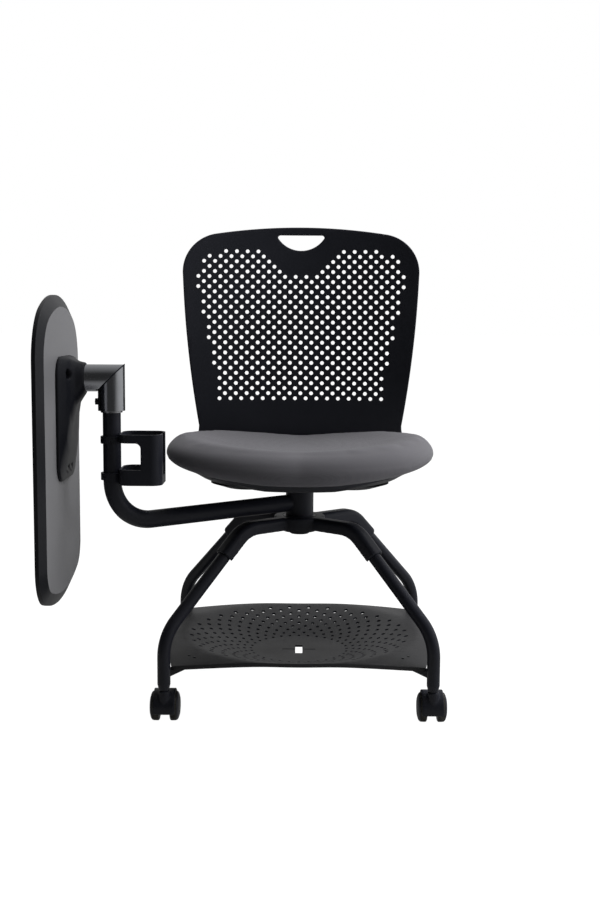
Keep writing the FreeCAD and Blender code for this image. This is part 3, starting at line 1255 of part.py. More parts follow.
def tablet():
    owner = new_body("tablet")
    face = new_sketch(owner, "YZ_Plane")
    half, top = "sizes.tablet_width / 2", "sizes.tablet_top"
    foot = "(sizes.tablet_top - sizes.tablet_length)"
    crown_half = "(sizes.tablet_width / 2 - sizes.tablet_corner)"
    toe_half = "(sizes.tablet_width / 2 - sizes.tablet_toe)"
    crown_bend = "(%s ^ 2 + sizes.tablet_crown ^ 2) / (2 * sizes.tablet_crown)" % crown_half
    sag_bend = "(%s ^ 2 + sizes.tablet_sag ^ 2) / (2 * sizes.tablet_sag)" % toe_half
    corner_bend = "sizes.tablet_corner_bend"
    toe_bend = "sizes.tablet_toe_bend"
    draw_outline(face, [
        (half, foot + " + sizes.tablet_hip"),
        (half, top + " - sizes.tablet_shoulder", corner_bend),
        (crown_half, top + " - sizes.tablet_crown", crown_bend),
        ("-" + crown_half, top + " - sizes.tablet_crown", corner_bend),
        ("-" + half, top + " - sizes.tablet_shoulder"),
        ("-" + half, foot + " + sizes.tablet_hip", toe_bend),
        ("-" + toe_half, foot + " + sizes.tablet_sag", sag_bend),
        (toe_half, foot + " + sizes.tablet_sag", toe_bend)])
    slab = pad(owner, face, "sizes.tablet_wall")
    doc.recompute()
    rim = ["Edge%d" % (n + 1) for n, edge in enumerate(slab.Shape.Edges)
           if edge.BoundBox.XMin > v.tablet_wall / 2]
    bevel = owner.newObject("PartDesign::Chamfer", "bevel")
    bevel.Base = (slab, rim)
    bevel.ChamferType = "Two distances"
    bevel.FlipDirection = False
    bind(bevel, Size="sizes.tablet_bevel_depth", Size2="sizes.tablet_bevel")
    owner.Tip = bevel
    doc.recompute()
    holes = new_sketch(owner, "YZ_Plane", "sizes.tablet_wall / 2")
    upper_row = "sizes.bracket_top - sizes.bracket_screw_drop"
    lower_row = "sizes.bracket_top - sizes.bracket_length + sizes.tail_screw_rise"
    for side in ("-", "+"):
        for span, row in (("bracket_screw_span", upper_row), ("tail_screw_span", lower_row)):
            draw_circle(holes, "sizes.tablet_shift %s sizes.%s / 2" % (side, span), row,
                        "sizes.screw_dia / 2")
    pocket(owner, holes, "sizes.tablet_wall", reverse=True)
    middle = -v.post_y - v.tablet_shift
    keep(owner, "tablet", Placement(Vector(-v.post_x - v.tablet_reach, middle, 0), Rotation()))


tablet()


# Every piece has to be whole before it is written

doc.recompute()
for thing in doc.Objects:
    if "Invalid" in thing.State or "Error" in thing.State:
        raise SystemExit("failed: %s %s" % (thing.Name, thing.State))
os.makedirs("parts", exist_ok=True)
for piece in parts:
    if piece.Shape.isNull() or not piece.Shape.isValid() or piece.Shape.Volume <= 0:
        raise SystemExit("bad shape: " + piece.Label)
    piece.Shape.exportStep("parts/%s.step" % piece.Label)
    print("%s volume %.0f" % (piece.Label, piece.Shape.Volume))
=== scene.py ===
import math
import bmesh
import bpy
from mathutils import Matrix, Vector


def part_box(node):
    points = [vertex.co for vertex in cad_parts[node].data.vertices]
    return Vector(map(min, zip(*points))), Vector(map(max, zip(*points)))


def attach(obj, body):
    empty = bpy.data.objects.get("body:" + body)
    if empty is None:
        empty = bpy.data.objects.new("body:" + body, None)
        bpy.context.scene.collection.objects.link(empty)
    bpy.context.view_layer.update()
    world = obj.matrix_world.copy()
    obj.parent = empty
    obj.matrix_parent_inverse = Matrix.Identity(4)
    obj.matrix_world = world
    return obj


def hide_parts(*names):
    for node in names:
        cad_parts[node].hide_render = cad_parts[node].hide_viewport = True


# A rolling training chair with a perforated back, a bag tray and a flip-over writing tablet.
# Lengths are in metres and +Z is up. The sitter faces -Y, and left and right are as seen from
# in front of the chair, so the writing tablet is on the left.

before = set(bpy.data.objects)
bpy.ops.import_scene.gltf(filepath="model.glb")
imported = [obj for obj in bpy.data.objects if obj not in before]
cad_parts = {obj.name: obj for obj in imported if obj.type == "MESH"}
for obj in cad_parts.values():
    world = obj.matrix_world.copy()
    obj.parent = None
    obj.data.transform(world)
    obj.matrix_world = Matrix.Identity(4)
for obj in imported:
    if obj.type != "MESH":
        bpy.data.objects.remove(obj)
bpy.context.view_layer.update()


# Caster wheels
# Twin wheels of moulded nylon on one axle. Each has a rounded tread, a domed outer face and a
# shallow ring round its middle, and the tread is dulled by the floor.

CORNERS = ("front_left", "front_right", "rear_left", "rear_right")
# Specular level of every finish that gives none, and the angle from which an edge looks sharp
GLOSS = 0.32
SHARP_ANGLE = 0.6
SAME_PLACE = 1e-6


def new_material(name, colour, roughness, metallic=0.0, gloss=GLOSS):
    """A material with its node tree and its Principled shader, ready for a pattern."""
    made = bpy.data.materials.new(name)
    made.use_nodes = True
    shader = made.node_tree.nodes["Principled BSDF"]
    shader.inputs["Base Color"].default_value = (*colour, 1.0)
    shader.inputs["Roughness"].default_value = roughness
    shader.inputs["Metallic"].default_value = metallic
    shader.inputs["Specular IOR Level"].default_value = gloss
    return made, made.node_tree, shader


def new_group(name, inputs, outputs):
    """An empty shader node group with number inputs and outputs."""
    tree = bpy.data.node_groups.new(name, "ShaderNodeTree")
    for label, value in inputs.items():
        socket = tree.interface.new_socket(label, in_out="INPUT", socket_type="NodeSocketFloat")
        socket.default_value = value
    for label in outputs:
        tree.interface.new_socket(label, in_out="OUTPUT", socket_type="NodeSocketFloat")
    return tree, tree.nodes.new("NodeGroupInput"), tree.nodes.new("NodeGroupOutput")


def feed(tree, value, socket):
    """Gives a socket its value: a number, or the output of another node."""
    if isinstance(value, bpy.types.NodeSocket):
        tree.links.new(value, socket)
    else:
        socket.default_value = value


def object_noise(tree, scale, detail):
    """Noise in the piece's own coordinates."""
    noise = tree.nodes.new("ShaderNodeTexNoise")
    noise.inputs["Detail"].default_value = detail
    place = tree.nodes.new("ShaderNodeTexCoord").outputs["Object"]
    tree.links.new(place, noise.inputs["Vector"])
    feed(tree, scale, noise.inputs["Scale"])
    return noise.outputs["Fac"]


def spread(tree, value, low, high, from_low=0.3, from_high=0.7):
    """Stretches a mask or noise over a range of values."""
    step = tree.nodes.new("ShaderNodeMapRange")
    tree.links.new(value, step.inputs["Value"])
    for label, number in (("From Min", from_low), ("From Max", from_high), ("To Min", low), ("To Max", high)):
        step.inputs[label].default_value = number
    return step.outputs["Result"]


def tint(tree, mask, first, second):
    """Mixes two colours by a mask."""
    mix = tree.nodes.new("ShaderNodeMix")
    mix.data_type = "RGBA"
    tree.links.new(mask, mix.inputs["Factor"])
    mix.inputs["A"].default_value = (*first, 1.0)
    mix.inputs["B"].default_value = (*second, 1.0)
    return mix.outputs["Result"]


def math_node(tree, operation, *values):
    """A math node on sockets or numbers."""
    made = tree.nodes.new("ShaderNodeMath")
    made.operation = operation
    for value, socket in zip(values, made.inputs):
        feed(tree, value, socket)
    return made.outputs[0]


def bump(tree, shader, height, distance, strength=1.0):
    """Raises the surface by a height pattern."""
    made = tree.nodes.new("ShaderNodeBump")
    made.inputs["Distance"].default_value = distance
    made.inputs["Strength"].default_value = strength
    tree.links.new(height, made.inputs["Height"])
    tree.links.new(made.outputs["Normal"], shader.inputs["Normal"])


# Grain: the fine texture of moulded and coated surfaces, and a slow mottle from handling
grain_tree, grain_in, grain_out = new_group(
    "surface_grain", {"Grain": 900.0, "Mottle": 9.0}, ("Height", "Mottle"))
fine_grain = object_noise(grain_tree, grain_in.outputs["Grain"], detail=3.0)
slow_mottle = object_noise(grain_tree, grain_in.outputs["Mottle"], detail=4.0)
grain_tree.links.new(fine_grain, grain_out.inputs["Height"])
grain_tree.links.new(spread(grain_tree, slow_mottle, 0.0, 1.0), grain_out.inputs["Mottle"])


def grained(name, colour, worn, roughness, grain, depth, metallic=0.0, mottle=9.0, gloss=GLOSS):
    """A moulded or coated finish: colour and roughness drift a little, over a fine grain."""
    made, tree, shader = new_material(name, colour, roughness[0], metallic, gloss)
    grain_node = tree.nodes.new("ShaderNodeGroup")
    grain_node.node_tree = grain_tree
    grain_node.inputs["Grain"].default_value = grain
    grain_node.inputs["Mottle"].default_value = mottle
    tree.links.new(tint(tree, grain_node.outputs["Mottle"], colour, worn), shader.inputs["Base Color"])
    tree.links.new(spread(tree, grain_node.outputs["Mottle"], *roughness, 0.0, 1.0),
                   shader.inputs["Roughness"])
    bump(tree, shader, grain_node.outputs["Height"], depth)
    return made


nylon = grained("moulded_nylon", colour=(0.0110, 0.0120, 0.0175), worn=(0.0135, 0.0145, 0.0205),
                roughness=(0.36, 0.48), grain=700.0, depth=0.0002)
tread_grit = grained("worn_tread", colour=(0.045, 0.042, 0.034), worn=(0.020, 0.019, 0.016),
                     roughness=(0.55, 0.8), grain=380.0, depth=0.0006, mottle=140.0)


def finish_mesh(form, name, materials):
    """Turns a bmesh into a piece at the origin, smooth except where it bends sharply."""
    mesh = bpy.data.meshes.new(name)
    form.to_mesh(mesh)
    form.free()
    for material in materials:
        mesh.materials.append(material)
    mesh.shade_smooth()
    mesh.set_sharp_from_angle(angle=SHARP_ANGLE)
    piece = bpy.data.objects.new(name, mesh)
    bpy.context.scene.collection.objects.link(piece)
    return piece


def lathe(corners, turns, centre, axis, start):
    """Spins a half section, given as (along the axis, radius) corners, once round an axis."""
    form = bmesh.new()
    axis = Vector(axis).normalized()
    out = Vector(start).normalized()
    points = [form.verts.new(Vector(centre) + axis * along + out * radius) for along, radius in corners]
    edges = [form.edges.new(pair) for pair in zip(points, points[1:])]
    bmesh.ops.spin(form, geom=points + edges, cent=centre, axis=axis, angle=2 * math.pi, steps=turns,
                   use_merge=True)
    bmesh.ops.remove_doubles(form, verts=form.verts, dist=SAME_PLACE)
    bmesh.ops.recalc_face_normals(form, faces=form.faces)
    return form


WHEEL_TURNS = 56
# Shares of the wheel's width, then of its radius: inner face, tread, dome, ring and middle
WHEEL_SECTION = [(0.0, 0.20), (0.0, 0.90), (0.03, 0.95), (0.08, 0.985), (0.14, 1.0), (0.40, 1.0),
                 (0.62, 0.99), (0.72, 0.965), (0.80, 0.92), (0.86, 0.86), (0.92, 0.76), (0.965, 0.66),
                 (0.99, 0.60), (0.985, 0.575), (0.94, 0.565), (0.94, 0.545), (0.97, 0.535), (1.0, 0.51),
                 (1.0, 0.16), (0.985, 0.13), (0.985, 0.0)]
# The tread is what lies further out than this share of the radius
TREAD_FROM = 0.95


def caster_wheel(corner, side):
    """One wheel, spun round its axle; its tread is a material of its own."""
    node = "%s_%s_wheel" % (corner, side)
    low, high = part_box(node)
    centre = (low + high) / 2
    radius = (high.z - low.z) / 2
    inner, outer = (low.x, high.x) if side == "right" else (high.x, low.x)
    width = abs(outer - inner)
    form = lathe([(along * width, share * radius) for along, share in WHEEL_SECTION], WHEEL_TURNS,
                 (inner, centre.y, centre.z), (math.copysign(1, outer - inner), 0, 0), (0, 0, 1))
    for face in form.faces:
        middle = face.calc_center_median()
        reach = math.hypot(middle.y - centre.y, middle.z - centre.z)
        face.material_index = 1 if reach > TREAD_FROM * radius else 0
    piece = finish_mesh(form, node + "_moulding", [nylon, tread_grit])
    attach(piece, node)
    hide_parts(node)


for corner in CORNERS:
    for side in ("left", "right"):
        caster_wheel(corner, side)


# Caster hoods, stems and axles
# One nylon moulding covers both wheels and carries the axle in its web; a steel stem pressed
# into its boss turns in the socket at the foot of the leg.

FLAT_ANGLE = 0.002


def softened(node, body, material, rounding, turn=0.55, segments=2):
    """A copy of a plain piece with its edges rounded over; it stands for the plain one."""
    form = bmesh.new()
    form.from_mesh(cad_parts[node].data)
    bmesh.ops.remove_doubles(form, verts=form.verts, dist=SAME_PLACE)
    bmesh.ops.dissolve_limit(form, angle_limit=FLAT_ANGLE, verts=form.verts, edges=form.edges)
    sharp = [edge for edge in form.edges if len(edge.link_faces) == 2 and edge.calc_face_angle() > turn]
    bmesh.ops.bevel(form, geom=sharp, offset=rounding, segments=segments, profile=0.5, affect="EDGES",
                    clamp_overlap=True, material=-1)
    bmesh.ops.remove_doubles(form, verts=form.verts, dist=SAME_PLACE)
    piece = finish_mesh(form, node + "_finished", [material])
    even = piece.modifiers.new("even_normals", "WEIGHTED_NORMAL")
    even.keep_sharp = True
    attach(piece, body)
    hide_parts(node)
    return piece


def apply_modifiers(piece):
    """Applies a piece's modifiers, from the first to the last."""
    bpy.context.view_layer.objects.active = piece
    for name in [modifier.name for modifier in piece.modifiers]:
        bpy.ops.object.modifier_apply(modifier=name)


def flowing(node, body, material, voxel, rounds):
    """A copy of a plain piece whose faces flow into each other, like a casting's."""
    piece = bpy.data.objects.new(node + "_finished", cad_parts[node].data.copy())
    bpy.context.scene.collection.objects.link(piece)
    piece.data.materials.clear()
    piece.data.materials.append(material)
    skin = piece.modifiers.new("skin", "REMESH")
    skin.mode = "VOXEL"
    skin.voxel_size = voxel
    skin.use_smooth_shade = True
    ease = piece.modifiers.new("ease", "SMOOTH")
    ease.factor = 0.5
    ease.iterations = rounds
    apply_modifiers(piece)
    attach(piece, body)
    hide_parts(node)


def dress(node, material):
    """Gives a plain piece that is shown as it is its finish."""
    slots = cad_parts[node].data.materials
    slots.clear()
    slots.append(material)


zinc = grained("zinc_plated_steel", colour=(0.50, 0.50, 0.51), worn=(0.42, 0.43, 0.45),
               roughness=(0.24, 0.38), grain=1400.0, depth=0.00005, metallic=1.0, mottle=60.0)

for corner in CORNERS:
    flowing(corner + "_caster_hood", corner + "_caster", nylon, voxel=0.0011, rounds=9)
    dress(corner + "_caster_stem", zinc)
    dress(corner + "_caster_axle", zinc)


# Legs, caster sockets and hub
# Four bent steel tubes welded to a hub, powder-coated satin black. Each ends in a tapered nylon
# socket for the caster, and a plastic cap closes the hub from below.

powder_coat = grained("black_powder_coat", colour=(0.0112, 0.0122, 0.0178), worn=(0.0140, 0.0150, 0.0212),
                      roughness=(0.33, 0.42), grain=520.0, depth=0.00012)

for corner in CORNERS:
    dress(corner + "_leg", powder_coat)

# The small parts of the swivel, of the seat's fixing and of the elbow's joint
for node in ("hub_socket", "swivel_sleeve", "seat_plate"):
    dress(node, powder_coat)
for node in ("caster_sockets", "spindle_cap", "thrust_washer", "mitre_washer"):
    dress(node, nylon)
for node in ("swivel_spindle", "seat_plate_screws", "mitre_pin"):
    dress(node, zinc)


# Arm tube
# A thick steel tube, welded to the swivel sleeve, that bends up into the post for the cup holder
# and the elbow. It rises a little towards the column and sags at the bend.

# How far the tube rises at the column and sags in the bend, and where the post and bend are
ARM_RISE, ARM_SAG = 0.011, 0.006
ARM_REACH, BEND_TOP, BEND_FOOT = 0.2873, 0.430, 0.350


def arm_tube():
    """The tube's edges are rounded over, and its run is bent a little off the straight."""
    piece = softened("arm_tube", "seat", powder_coat, rounding=0.0002)
    for vert in piece.data.vertices:
        low = min(1.0, max(0.0, (BEND_TOP - vert.co.z) / (BEND_TOP - BEND_FOOT)))
        along = math.hypot(vert.co.x, vert.co.y) / ARM_REACH
        vert.co.z += ARM_RISE * max(0.0, 1.0 - along) - ARM_SAG * low


arm_tube()


# Hub cover
# A moulded X, open below, that snaps over the roots of the four legs round the hub. Its
# shoulders are rounded.

flowing("hub_cover", "base", nylon, voxel=0.0016, rounds=8)


# Bag tray
# Pressed steel sheet with rings of holes, a turned-down edge and a cross of a hole and a slot in
# the middle. It is powder-coated charcoal and screwed to a bracket on each leg.
# The walls of the holes are black powder coat, a painted shade for the dark seen through them.

charcoal = grained("charcoal_powder_coat", colour=(0.020, 0.020, 0.0215), worn=(0.025, 0.025, 0.0265),
                   roughness=(0.42, 0.55), grain=800.0, depth=0.0002)
SLIVER = 2e-5
RIM_WELD = 1e-5


def arc(first, middle, last, steps):
    """Points along the arc through three places, without its last point."""
    (ax, ay), (bx, by), (cx, cy) = first, middle, last
    scale = 2 * (ax * (by - cy) + bx * (cy - ay) + cx * (ay - by))
    square_a, square_b, square_c = ax * ax + ay * ay, bx * bx + by * by, cx * cx + cy * cy
    x = (square_a * (by - cy) + square_b * (cy - ay) + square_c * (ay - by)) / scale
    y = (square_a * (cx - bx) + square_b * (ax - cx) + square_c * (bx - ax)) / scale
    radius = math.hypot(ax - x, ay - y)
    angles = [math.atan2(py - y, px - x) for px, py in (first, middle, last)]
    turned = (angles[2] - angles[0]) % (2 * math.pi)
    if (angles[1] - angles[0]) % (2 * math.pi) > turned:
        turned -= 2 * math.pi
    return [(x + radius * math.cos(angles[0] + turned * step / steps),
             y + radius * math.sin(angles[0] + turned * step / steps)) for step in range(steps)]


def draw_loop(form, points):
    """A closed line of edges in the XY plane."""
    verts = [form.verts.new((x, y, 0)) for x, y in points]
    return [form.edges.new((verts[i - 1], verts[i])) for i in range(len(verts))]


def fill_sheet(form, grid):
    """Fills the space between the lines, face up, and cuts the faces along a grid."""
    bmesh.ops.triangle_fill(form, use_beauty=True, edges=form.edges, normal=(0, 0, 1))
    bmesh.ops.recalc_face_normals(form, faces=form.faces)
    if next(iter(form.faces)).normal.z < 0:
        bmesh.ops.reverse_faces(form, faces=form.faces)
    low = Vector((min(v.co.x for v in form.verts), min(v.co.y for v in form.verts)))
    high = Vector((max(v.co.x for v in form.verts), max(v.co.y for v in form.verts)))
    for axis, normal in ((0, (1, 0, 0)), (1, (0, 1, 0))):
        count = math.ceil((high[axis] - low[axis]) / grid)
        for step in range(1, count):
            place = Vector((0, 0, 0))
            place[axis] = low[axis] + (high[axis] - low[axis]) * step / count
            bmesh.ops.bisect_plane(form, geom=form.verts[:] + form.edges[:] + form.faces[:], dist=SAME_PLACE,
                                   plane_co=place, plane_no=normal)
    bmesh.ops.remove_doubles(form, verts=form.verts, dist=SLIVER)


def ways_out(edges):
    """For each vert on the sheet's edges, its place and the way from there out of the sheet."""
    outward = {}
    for edge in edges:
        along = edge.verts[1].co - edge.verts[0].co
        side = Vector((along.y, -along.x, 0)).normalized()
        if side.dot(edge.verts[0].co - edge.link_faces[0].calc_center_median()) < 0:
            side = -side
        for vert in edge.verts:
            outward[vert] = outward.get(vert, Vector()) + side
    return {vert: (vert.co.copy(), side.normalized()) for vert, side in outward.items()}


def extrude_rim(form, loop, around, steps, slot):
    """Takes an edge of the sheet on in (outwards, down) steps, from the places that around gives."""
    for out, down in steps:
        made = bmesh.ops.extrude_edge_only(form, edges=loop)["geom"]
        fresh = {item for item in made if isinstance(item, bmesh.types.BMVert)}
        for item in made:
            if isinstance(item, bmesh.types.BMFace):
                item.material_index = slot
        moved = {}
        for vert in fresh:
            old = next(edge.other_vert(vert) for edge in vert.link_edges
                       if edge.other_vert(vert) in around)
            place, side = around[old]
            vert.co = place + side * out - Vector((0, 0, down))
            moved[vert] = (place, side)
        around = moved
        loop = [item for item in made if isinstance(item, bmesh.types.BMEdge)
                and item.verts[0] in fresh and item.verts[1] in fresh]


def punched_sheet(outlines, cut_outs, holes, hole_sides, grid, wall, rim, hole_rim, hole_slot=0):
    """A flat sheet with rounded edges, its top at z = 0.

    outlines are lines of points, the outer one first, and have the rim; cut_outs are such lines
    too, holes are (x, y, diameter), and both have the hole_rim. A rim says how an edge goes on
    from the top, as (outwards, down) steps to the underside. hole_slot is the material inside.
    """
    form = bmesh.new()
    in_hole = form.verts.layers.int.new("in_hole")
    for points in outlines:
        draw_loop(form, points)
    hole_verts = [vert for points in cut_outs for edge in draw_loop(form, points) for vert in edge.verts]
    for x, y, width in holes:
        made = bmesh.ops.create_circle(form, segments=hole_sides, radius=width / 2,
                                       matrix=Matrix.Translation((x, y, 0)))
        hole_verts += made["verts"]
    for vert in hole_verts:
        vert[in_hole] = 1
    fill_sheet(form, grid)
    under = bmesh.ops.duplicate(form, geom=form.faces[:])["geom"]
    under_faces = [item for item in under if isinstance(item, bmesh.types.BMFace)]
    under_verts = [item for item in under if isinstance(item, bmesh.types.BMVert)]
    bmesh.ops.translate(form, vec=(0, 0, -wall), verts=under_verts)
    bmesh.ops.reverse_faces(form, faces=under_faces)
    under_set = set(under_faces)
    edges = [edge for edge in form.edges if edge.is_boundary and edge.link_faces[0] not in under_set]
    around = ways_out(edges)
    hole_edges = [edge for edge in edges if any(vert[in_hole] for vert in edge.verts)]
    rim_edges = [edge for edge in edges if not any(vert[in_hole] for vert in edge.verts)]
    extrude_rim(form, rim_edges, around, rim, slot=0)
    extrude_rim(form, hole_edges, around, hole_rim, slot=hole_slot)
    bmesh.ops.remove_doubles(form, verts=form.verts, dist=RIM_WELD)
    bmesh.ops.recalc_face_normals(form, faces=form.faces)
    return form


tray_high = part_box("tray")[1]
# The corners' places, the heights of the middle, crest and shoulder, and the bends between them
TRAY_CORNER_X, TRAY_CORNER_Y = 0.213, 0.190
TRAY_WELL, TRAY_CREST, TRAY_SHOULDER, TRAY_TILT = 0.074, 0.1105, 0.100, 0.02
TRAY_FLAT, TRAY_RING, TRAY_EASE = 0.085, 0.215, 0.003
# The sheet, its turned-down edge, the rings of holes and the cross in the middle
TRAY_WALL, TRAY_LIP, TRAY_FOLD = 0.0036, 0.0065, 0.0012
TRAY_RINGS, RING_HOLES = 10, 32
FIRST_RING, LAST_RING = 0.088, 0.196
SMALL_HOLE, LARGE_HOLE, HOLE_EASE = 0.0060, 0.0090, 0.0003
FRONT_STEPS, SIDE_STEPS, FOLD_STEPS = 40, 36, 3
KEY_HALF, KEY_DEPTH_HALF, SLOT_HALF, SLOT_DEPTH_HALF = 0.0068, 0.0265, 0.0305, 0.0018


def tray_height(x, y):
    """Flat middle, rising cone and a shoulder that falls outwards, with eased bends."""
    reach = math.hypot(x, y)
    corner = math.hypot(TRAY_CORNER_X, TRAY_CORNER_Y)
    rise = TRAY_WELL + (TRAY_CREST - TRAY_WELL) * (reach - TRAY_FLAT) / (TRAY_RING - TRAY_FLAT)
    shoulder = TRAY_SHOULDER + TRAY_TILT * y
    fall = TRAY_CREST - (TRAY_CREST - shoulder) * (reach - TRAY_RING) / (corner - TRAY_RING)
    upper = TRAY_WELL + (rise - TRAY_WELL + math.hypot(rise - TRAY_WELL, TRAY_EASE)) / 2
    return (upper + fall - math.hypot(upper - fall, TRAY_EASE)) / 2


def tray_holes():
    """Rings of holes that grow outwards, each ring half a step round from the last."""
    holes = []
    for ring in range(TRAY_RINGS):
        share = ring / (TRAY_RINGS - 1)
        reach = FIRST_RING + (LAST_RING - FIRST_RING) * share
        width = SMALL_HOLE + (LARGE_HOLE - SMALL_HOLE) * share
        for hole in range(RING_HOLES):
            turned = 2 * math.pi * (hole + ring % 2 / 2) / RING_HOLES
            holes.append((reach * math.cos(turned), reach * math.sin(turned), width))
    return holes


def rounded_edge(radius, steps):
    """A quarter round as (outwards, down) steps."""
    turns = [math.pi / 2 * step / steps for step in range(1, steps + 1)]
    return [(radius * math.sin(turn), radius * (1 - math.cos(turn))) for turn in turns]


def bag_tray():
    """The sheet is punched flat, then raised to the tray's height; the walls of its holes are black, as
    painted shade.
    """
    x, y = TRAY_CORNER_X - TRAY_FOLD, TRAY_CORNER_Y - TRAY_FOLD
    bow_x, bow_y = tray_high.x - TRAY_FOLD, tray_high.y - TRAY_FOLD
    outline = (arc((-x, -y), (0, -bow_y), (x, -y), FRONT_STEPS)
               + arc((x, -y), (bow_x, 0), (x, y), SIDE_STEPS)
               + arc((x, y), (0, bow_y), (-x, y), FRONT_STEPS)
               + arc((-x, y), (-bow_x, 0), (-x, -y), SIDE_STEPS))
    key = [(-KEY_HALF, -KEY_DEPTH_HALF), (KEY_HALF, -KEY_DEPTH_HALF), (KEY_HALF, -SLOT_DEPTH_HALF),
           (SLOT_HALF, -SLOT_DEPTH_HALF), (SLOT_HALF, SLOT_DEPTH_HALF), (KEY_HALF, SLOT_DEPTH_HALF),
           (KEY_HALF, KEY_DEPTH_HALF), (-KEY_HALF, KEY_DEPTH_HALF), (-KEY_HALF, SLOT_DEPTH_HALF),
           (-SLOT_HALF, SLOT_DEPTH_HALF), (-SLOT_HALF, -SLOT_DEPTH_HALF), (-KEY_HALF, -SLOT_DEPTH_HALF)]
    rim = rounded_edge(TRAY_FOLD, FOLD_STEPS) + [(TRAY_FOLD, TRAY_LIP), (0.0, TRAY_LIP), (0.0, TRAY_WALL)]
    hole_rim = [(HOLE_EASE, HOLE_EASE), (HOLE_EASE, TRAY_WALL - HOLE_EASE), (0.0, TRAY_WALL)]
    # The walls of the holes take the black powder coat: painted shade for the dark seen through the holes.
    form = punched_sheet([outline], [key], tray_holes(), hole_sides=12, grid=0.012, wall=TRAY_WALL, rim=rim,
                         hole_rim=hole_rim, hole_slot=1)
    for vert in form.verts:
        vert.co.z += tray_height(vert.co.x, vert.co.y)
    piece = finish_mesh(form, "tray_sheet", [charcoal, powder_coat])
    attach(piece, "base")
    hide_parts("tray")


bag_tray()

BRACKET_DEEPEN, BRACKET_REACH = 1.3, 0.025


def tray_bracket(corner):
    """The wedge under a corner of the tray, drawn out along the tray's edge."""
    node = corner + "_tray_bracket"
    low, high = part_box(node)
    outer, inner = (low.x, high.x) if "left" in corner else (high.x, low.x)
    top = TRAY_SHOULDER - TRAY_LIP
    piece = softened(node, "base", powder_coat, rounding=0.0005)
    for vert in piece.data.vertices:
        vert.co.x += math.copysign(BRACKET_REACH, inner - outer) * (vert.co.x - outer) / (inner - outer)
        if vert.co.z < top:
            vert.co.z = top - (top - vert.co.z) * BRACKET_DEEPEN


for corner in CORNERS:
    tray_bracket(corner)

black_screw = grained("blackened_steel", colour=(0.014, 0.014, 0.016), worn=(0.03, 0.03, 0.032),
                      roughness=(0.3, 0.45), grain=900.0, depth=0.0001, metallic=0.6, mottle=200.0)
softened("tray_screws", "base", black_screw, rounding=0.0006)


# Seat shell and under-seat cover
# Black polypropylene mouldings with a fine leather grain: a shallow tray under the pad, and a
# dish that hides the steel plate on top of the swivel sleeve.

shell_black = grained("moulded_polypropylene", colour=(0.0140, 0.0150, 0.0200), worn=(0.0170, 0.0180, 0.0240),
                      roughness=(0.38, 0.46), grain=1100.0, depth=0.00016)
# The shell is drawn in to this share of its size, but for the lug behind it that carries the back
SHELL_DRAW_IN = 0.955
SHELL_LIFT = 0.011
SHELL_LUG = 0.02
COVER_DEPTH = 0.5


def aside(x, half):
    """0 in the middle of the seat and 1 from two thirds of the way to its sides."""
    return min(1.0, max(0.0, abs(x) / half * 2 - 0.5))


def seat_mouldings():
    """The rim of the shell tucks under the pad, and the cover below it is shallow."""
    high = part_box("seat_pad")[1]
    shell = softened("seat_shell", "seat", shell_black, rounding=0.001)
    for vert in shell.data.vertices:
        if vert.co.y < high.y - SHELL_LUG:
            vert.co.z += SHELL_LIFT * aside(vert.co.x, high.x)
            vert.co.x *= SHELL_DRAW_IN
            vert.co.y *= SHELL_DRAW_IN
    cover = softened("underseat_cover", "seat", shell_black, rounding=0.0012)
    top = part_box("underseat_cover")[1].z
    for vert in cover.data.vertices:
        vert.co.z = top - (top - vert.co.z) * COVER_DEPTH


seat_mouldings()


# Seat pad
# Moulded foam under grey woven upholstery, pulled tight over a waterfall front. The cover is
# swollen by cloth simulation from a slightly smaller pad.

FABRIC_COLOUR = (0.116, 0.114, 0.125)
FABRIC_DARK = (0.096, 0.094, 0.103)
WEAVE_PITCH, BANDS_AT_SCALE_1 = 0.0011, 0.314
# The pad is drawn in above its foot, swells within limits, and its lower edge is tucked up
PAD_VOXEL = 0.005
PAD_INSET, INSET_FROM, INSET_OVER = 0.0025, 0.006, 0.02
PAD_HELD = 0.008
PAD_STEPS = 20
PAD_SWELL, PAD_SINK = 0.0025, -0.001
PAD_ROUNDS = 10
PAD_TUCK, PAD_TUCK_ASIDE, TUCK_HEIGHT = 0.004, 0.007, 0.035


def woven_fabric():
    """Fine threads in three directions and a slow change of tone, with a soft sheen."""
    made, tree, shader = new_material("grey_upholstery", FABRIC_COLOUR, 0.85, gloss=0.3)
    shader.inputs["Sheen Weight"].default_value = 0.1
    shader.inputs["Sheen Roughness"].default_value = 0.45
    place = tree.nodes.new("ShaderNodeTexCoord").outputs["Object"]
    waves = []
    for direction, phase in (("X", 0.0), ("Y", 1.6), ("Z", 0.8)):
        wave = tree.nodes.new("ShaderNodeTexWave")
        wave.bands_direction = direction
        wave.inputs["Scale"].default_value = BANDS_AT_SCALE_1 / WEAVE_PITCH
        wave.inputs["Distortion"].default_value = 0.6
        wave.inputs["Detail"].default_value = 1.0
        wave.inputs["Detail Scale"].default_value = 2.0
        wave.inputs["Phase Offset"].default_value = phase
        tree.links.new(place, wave.inputs["Vector"])
        waves.append(wave.outputs["Fac"])
    weave = math_node(tree, "ADD", math_node(tree, "ADD", waves[0], waves[1]), waves[2])
    threads = spread(tree, weave, 0.0, 1.0, 0.6, 2.4)
    melange = spread(tree, object_noise(tree, 650.0, detail=3.0), -0.25, 0.25)
    mask = math_node(tree, "ADD", threads, melange)
    mask.node.use_clamp = True
    tree.links.new(tint(tree, mask, FABRIC_DARK, FABRIC_COLOUR), shader.inputs["Base Color"])
    bump(tree, shader, weave, distance=0.0002, strength=0.3)
    return made


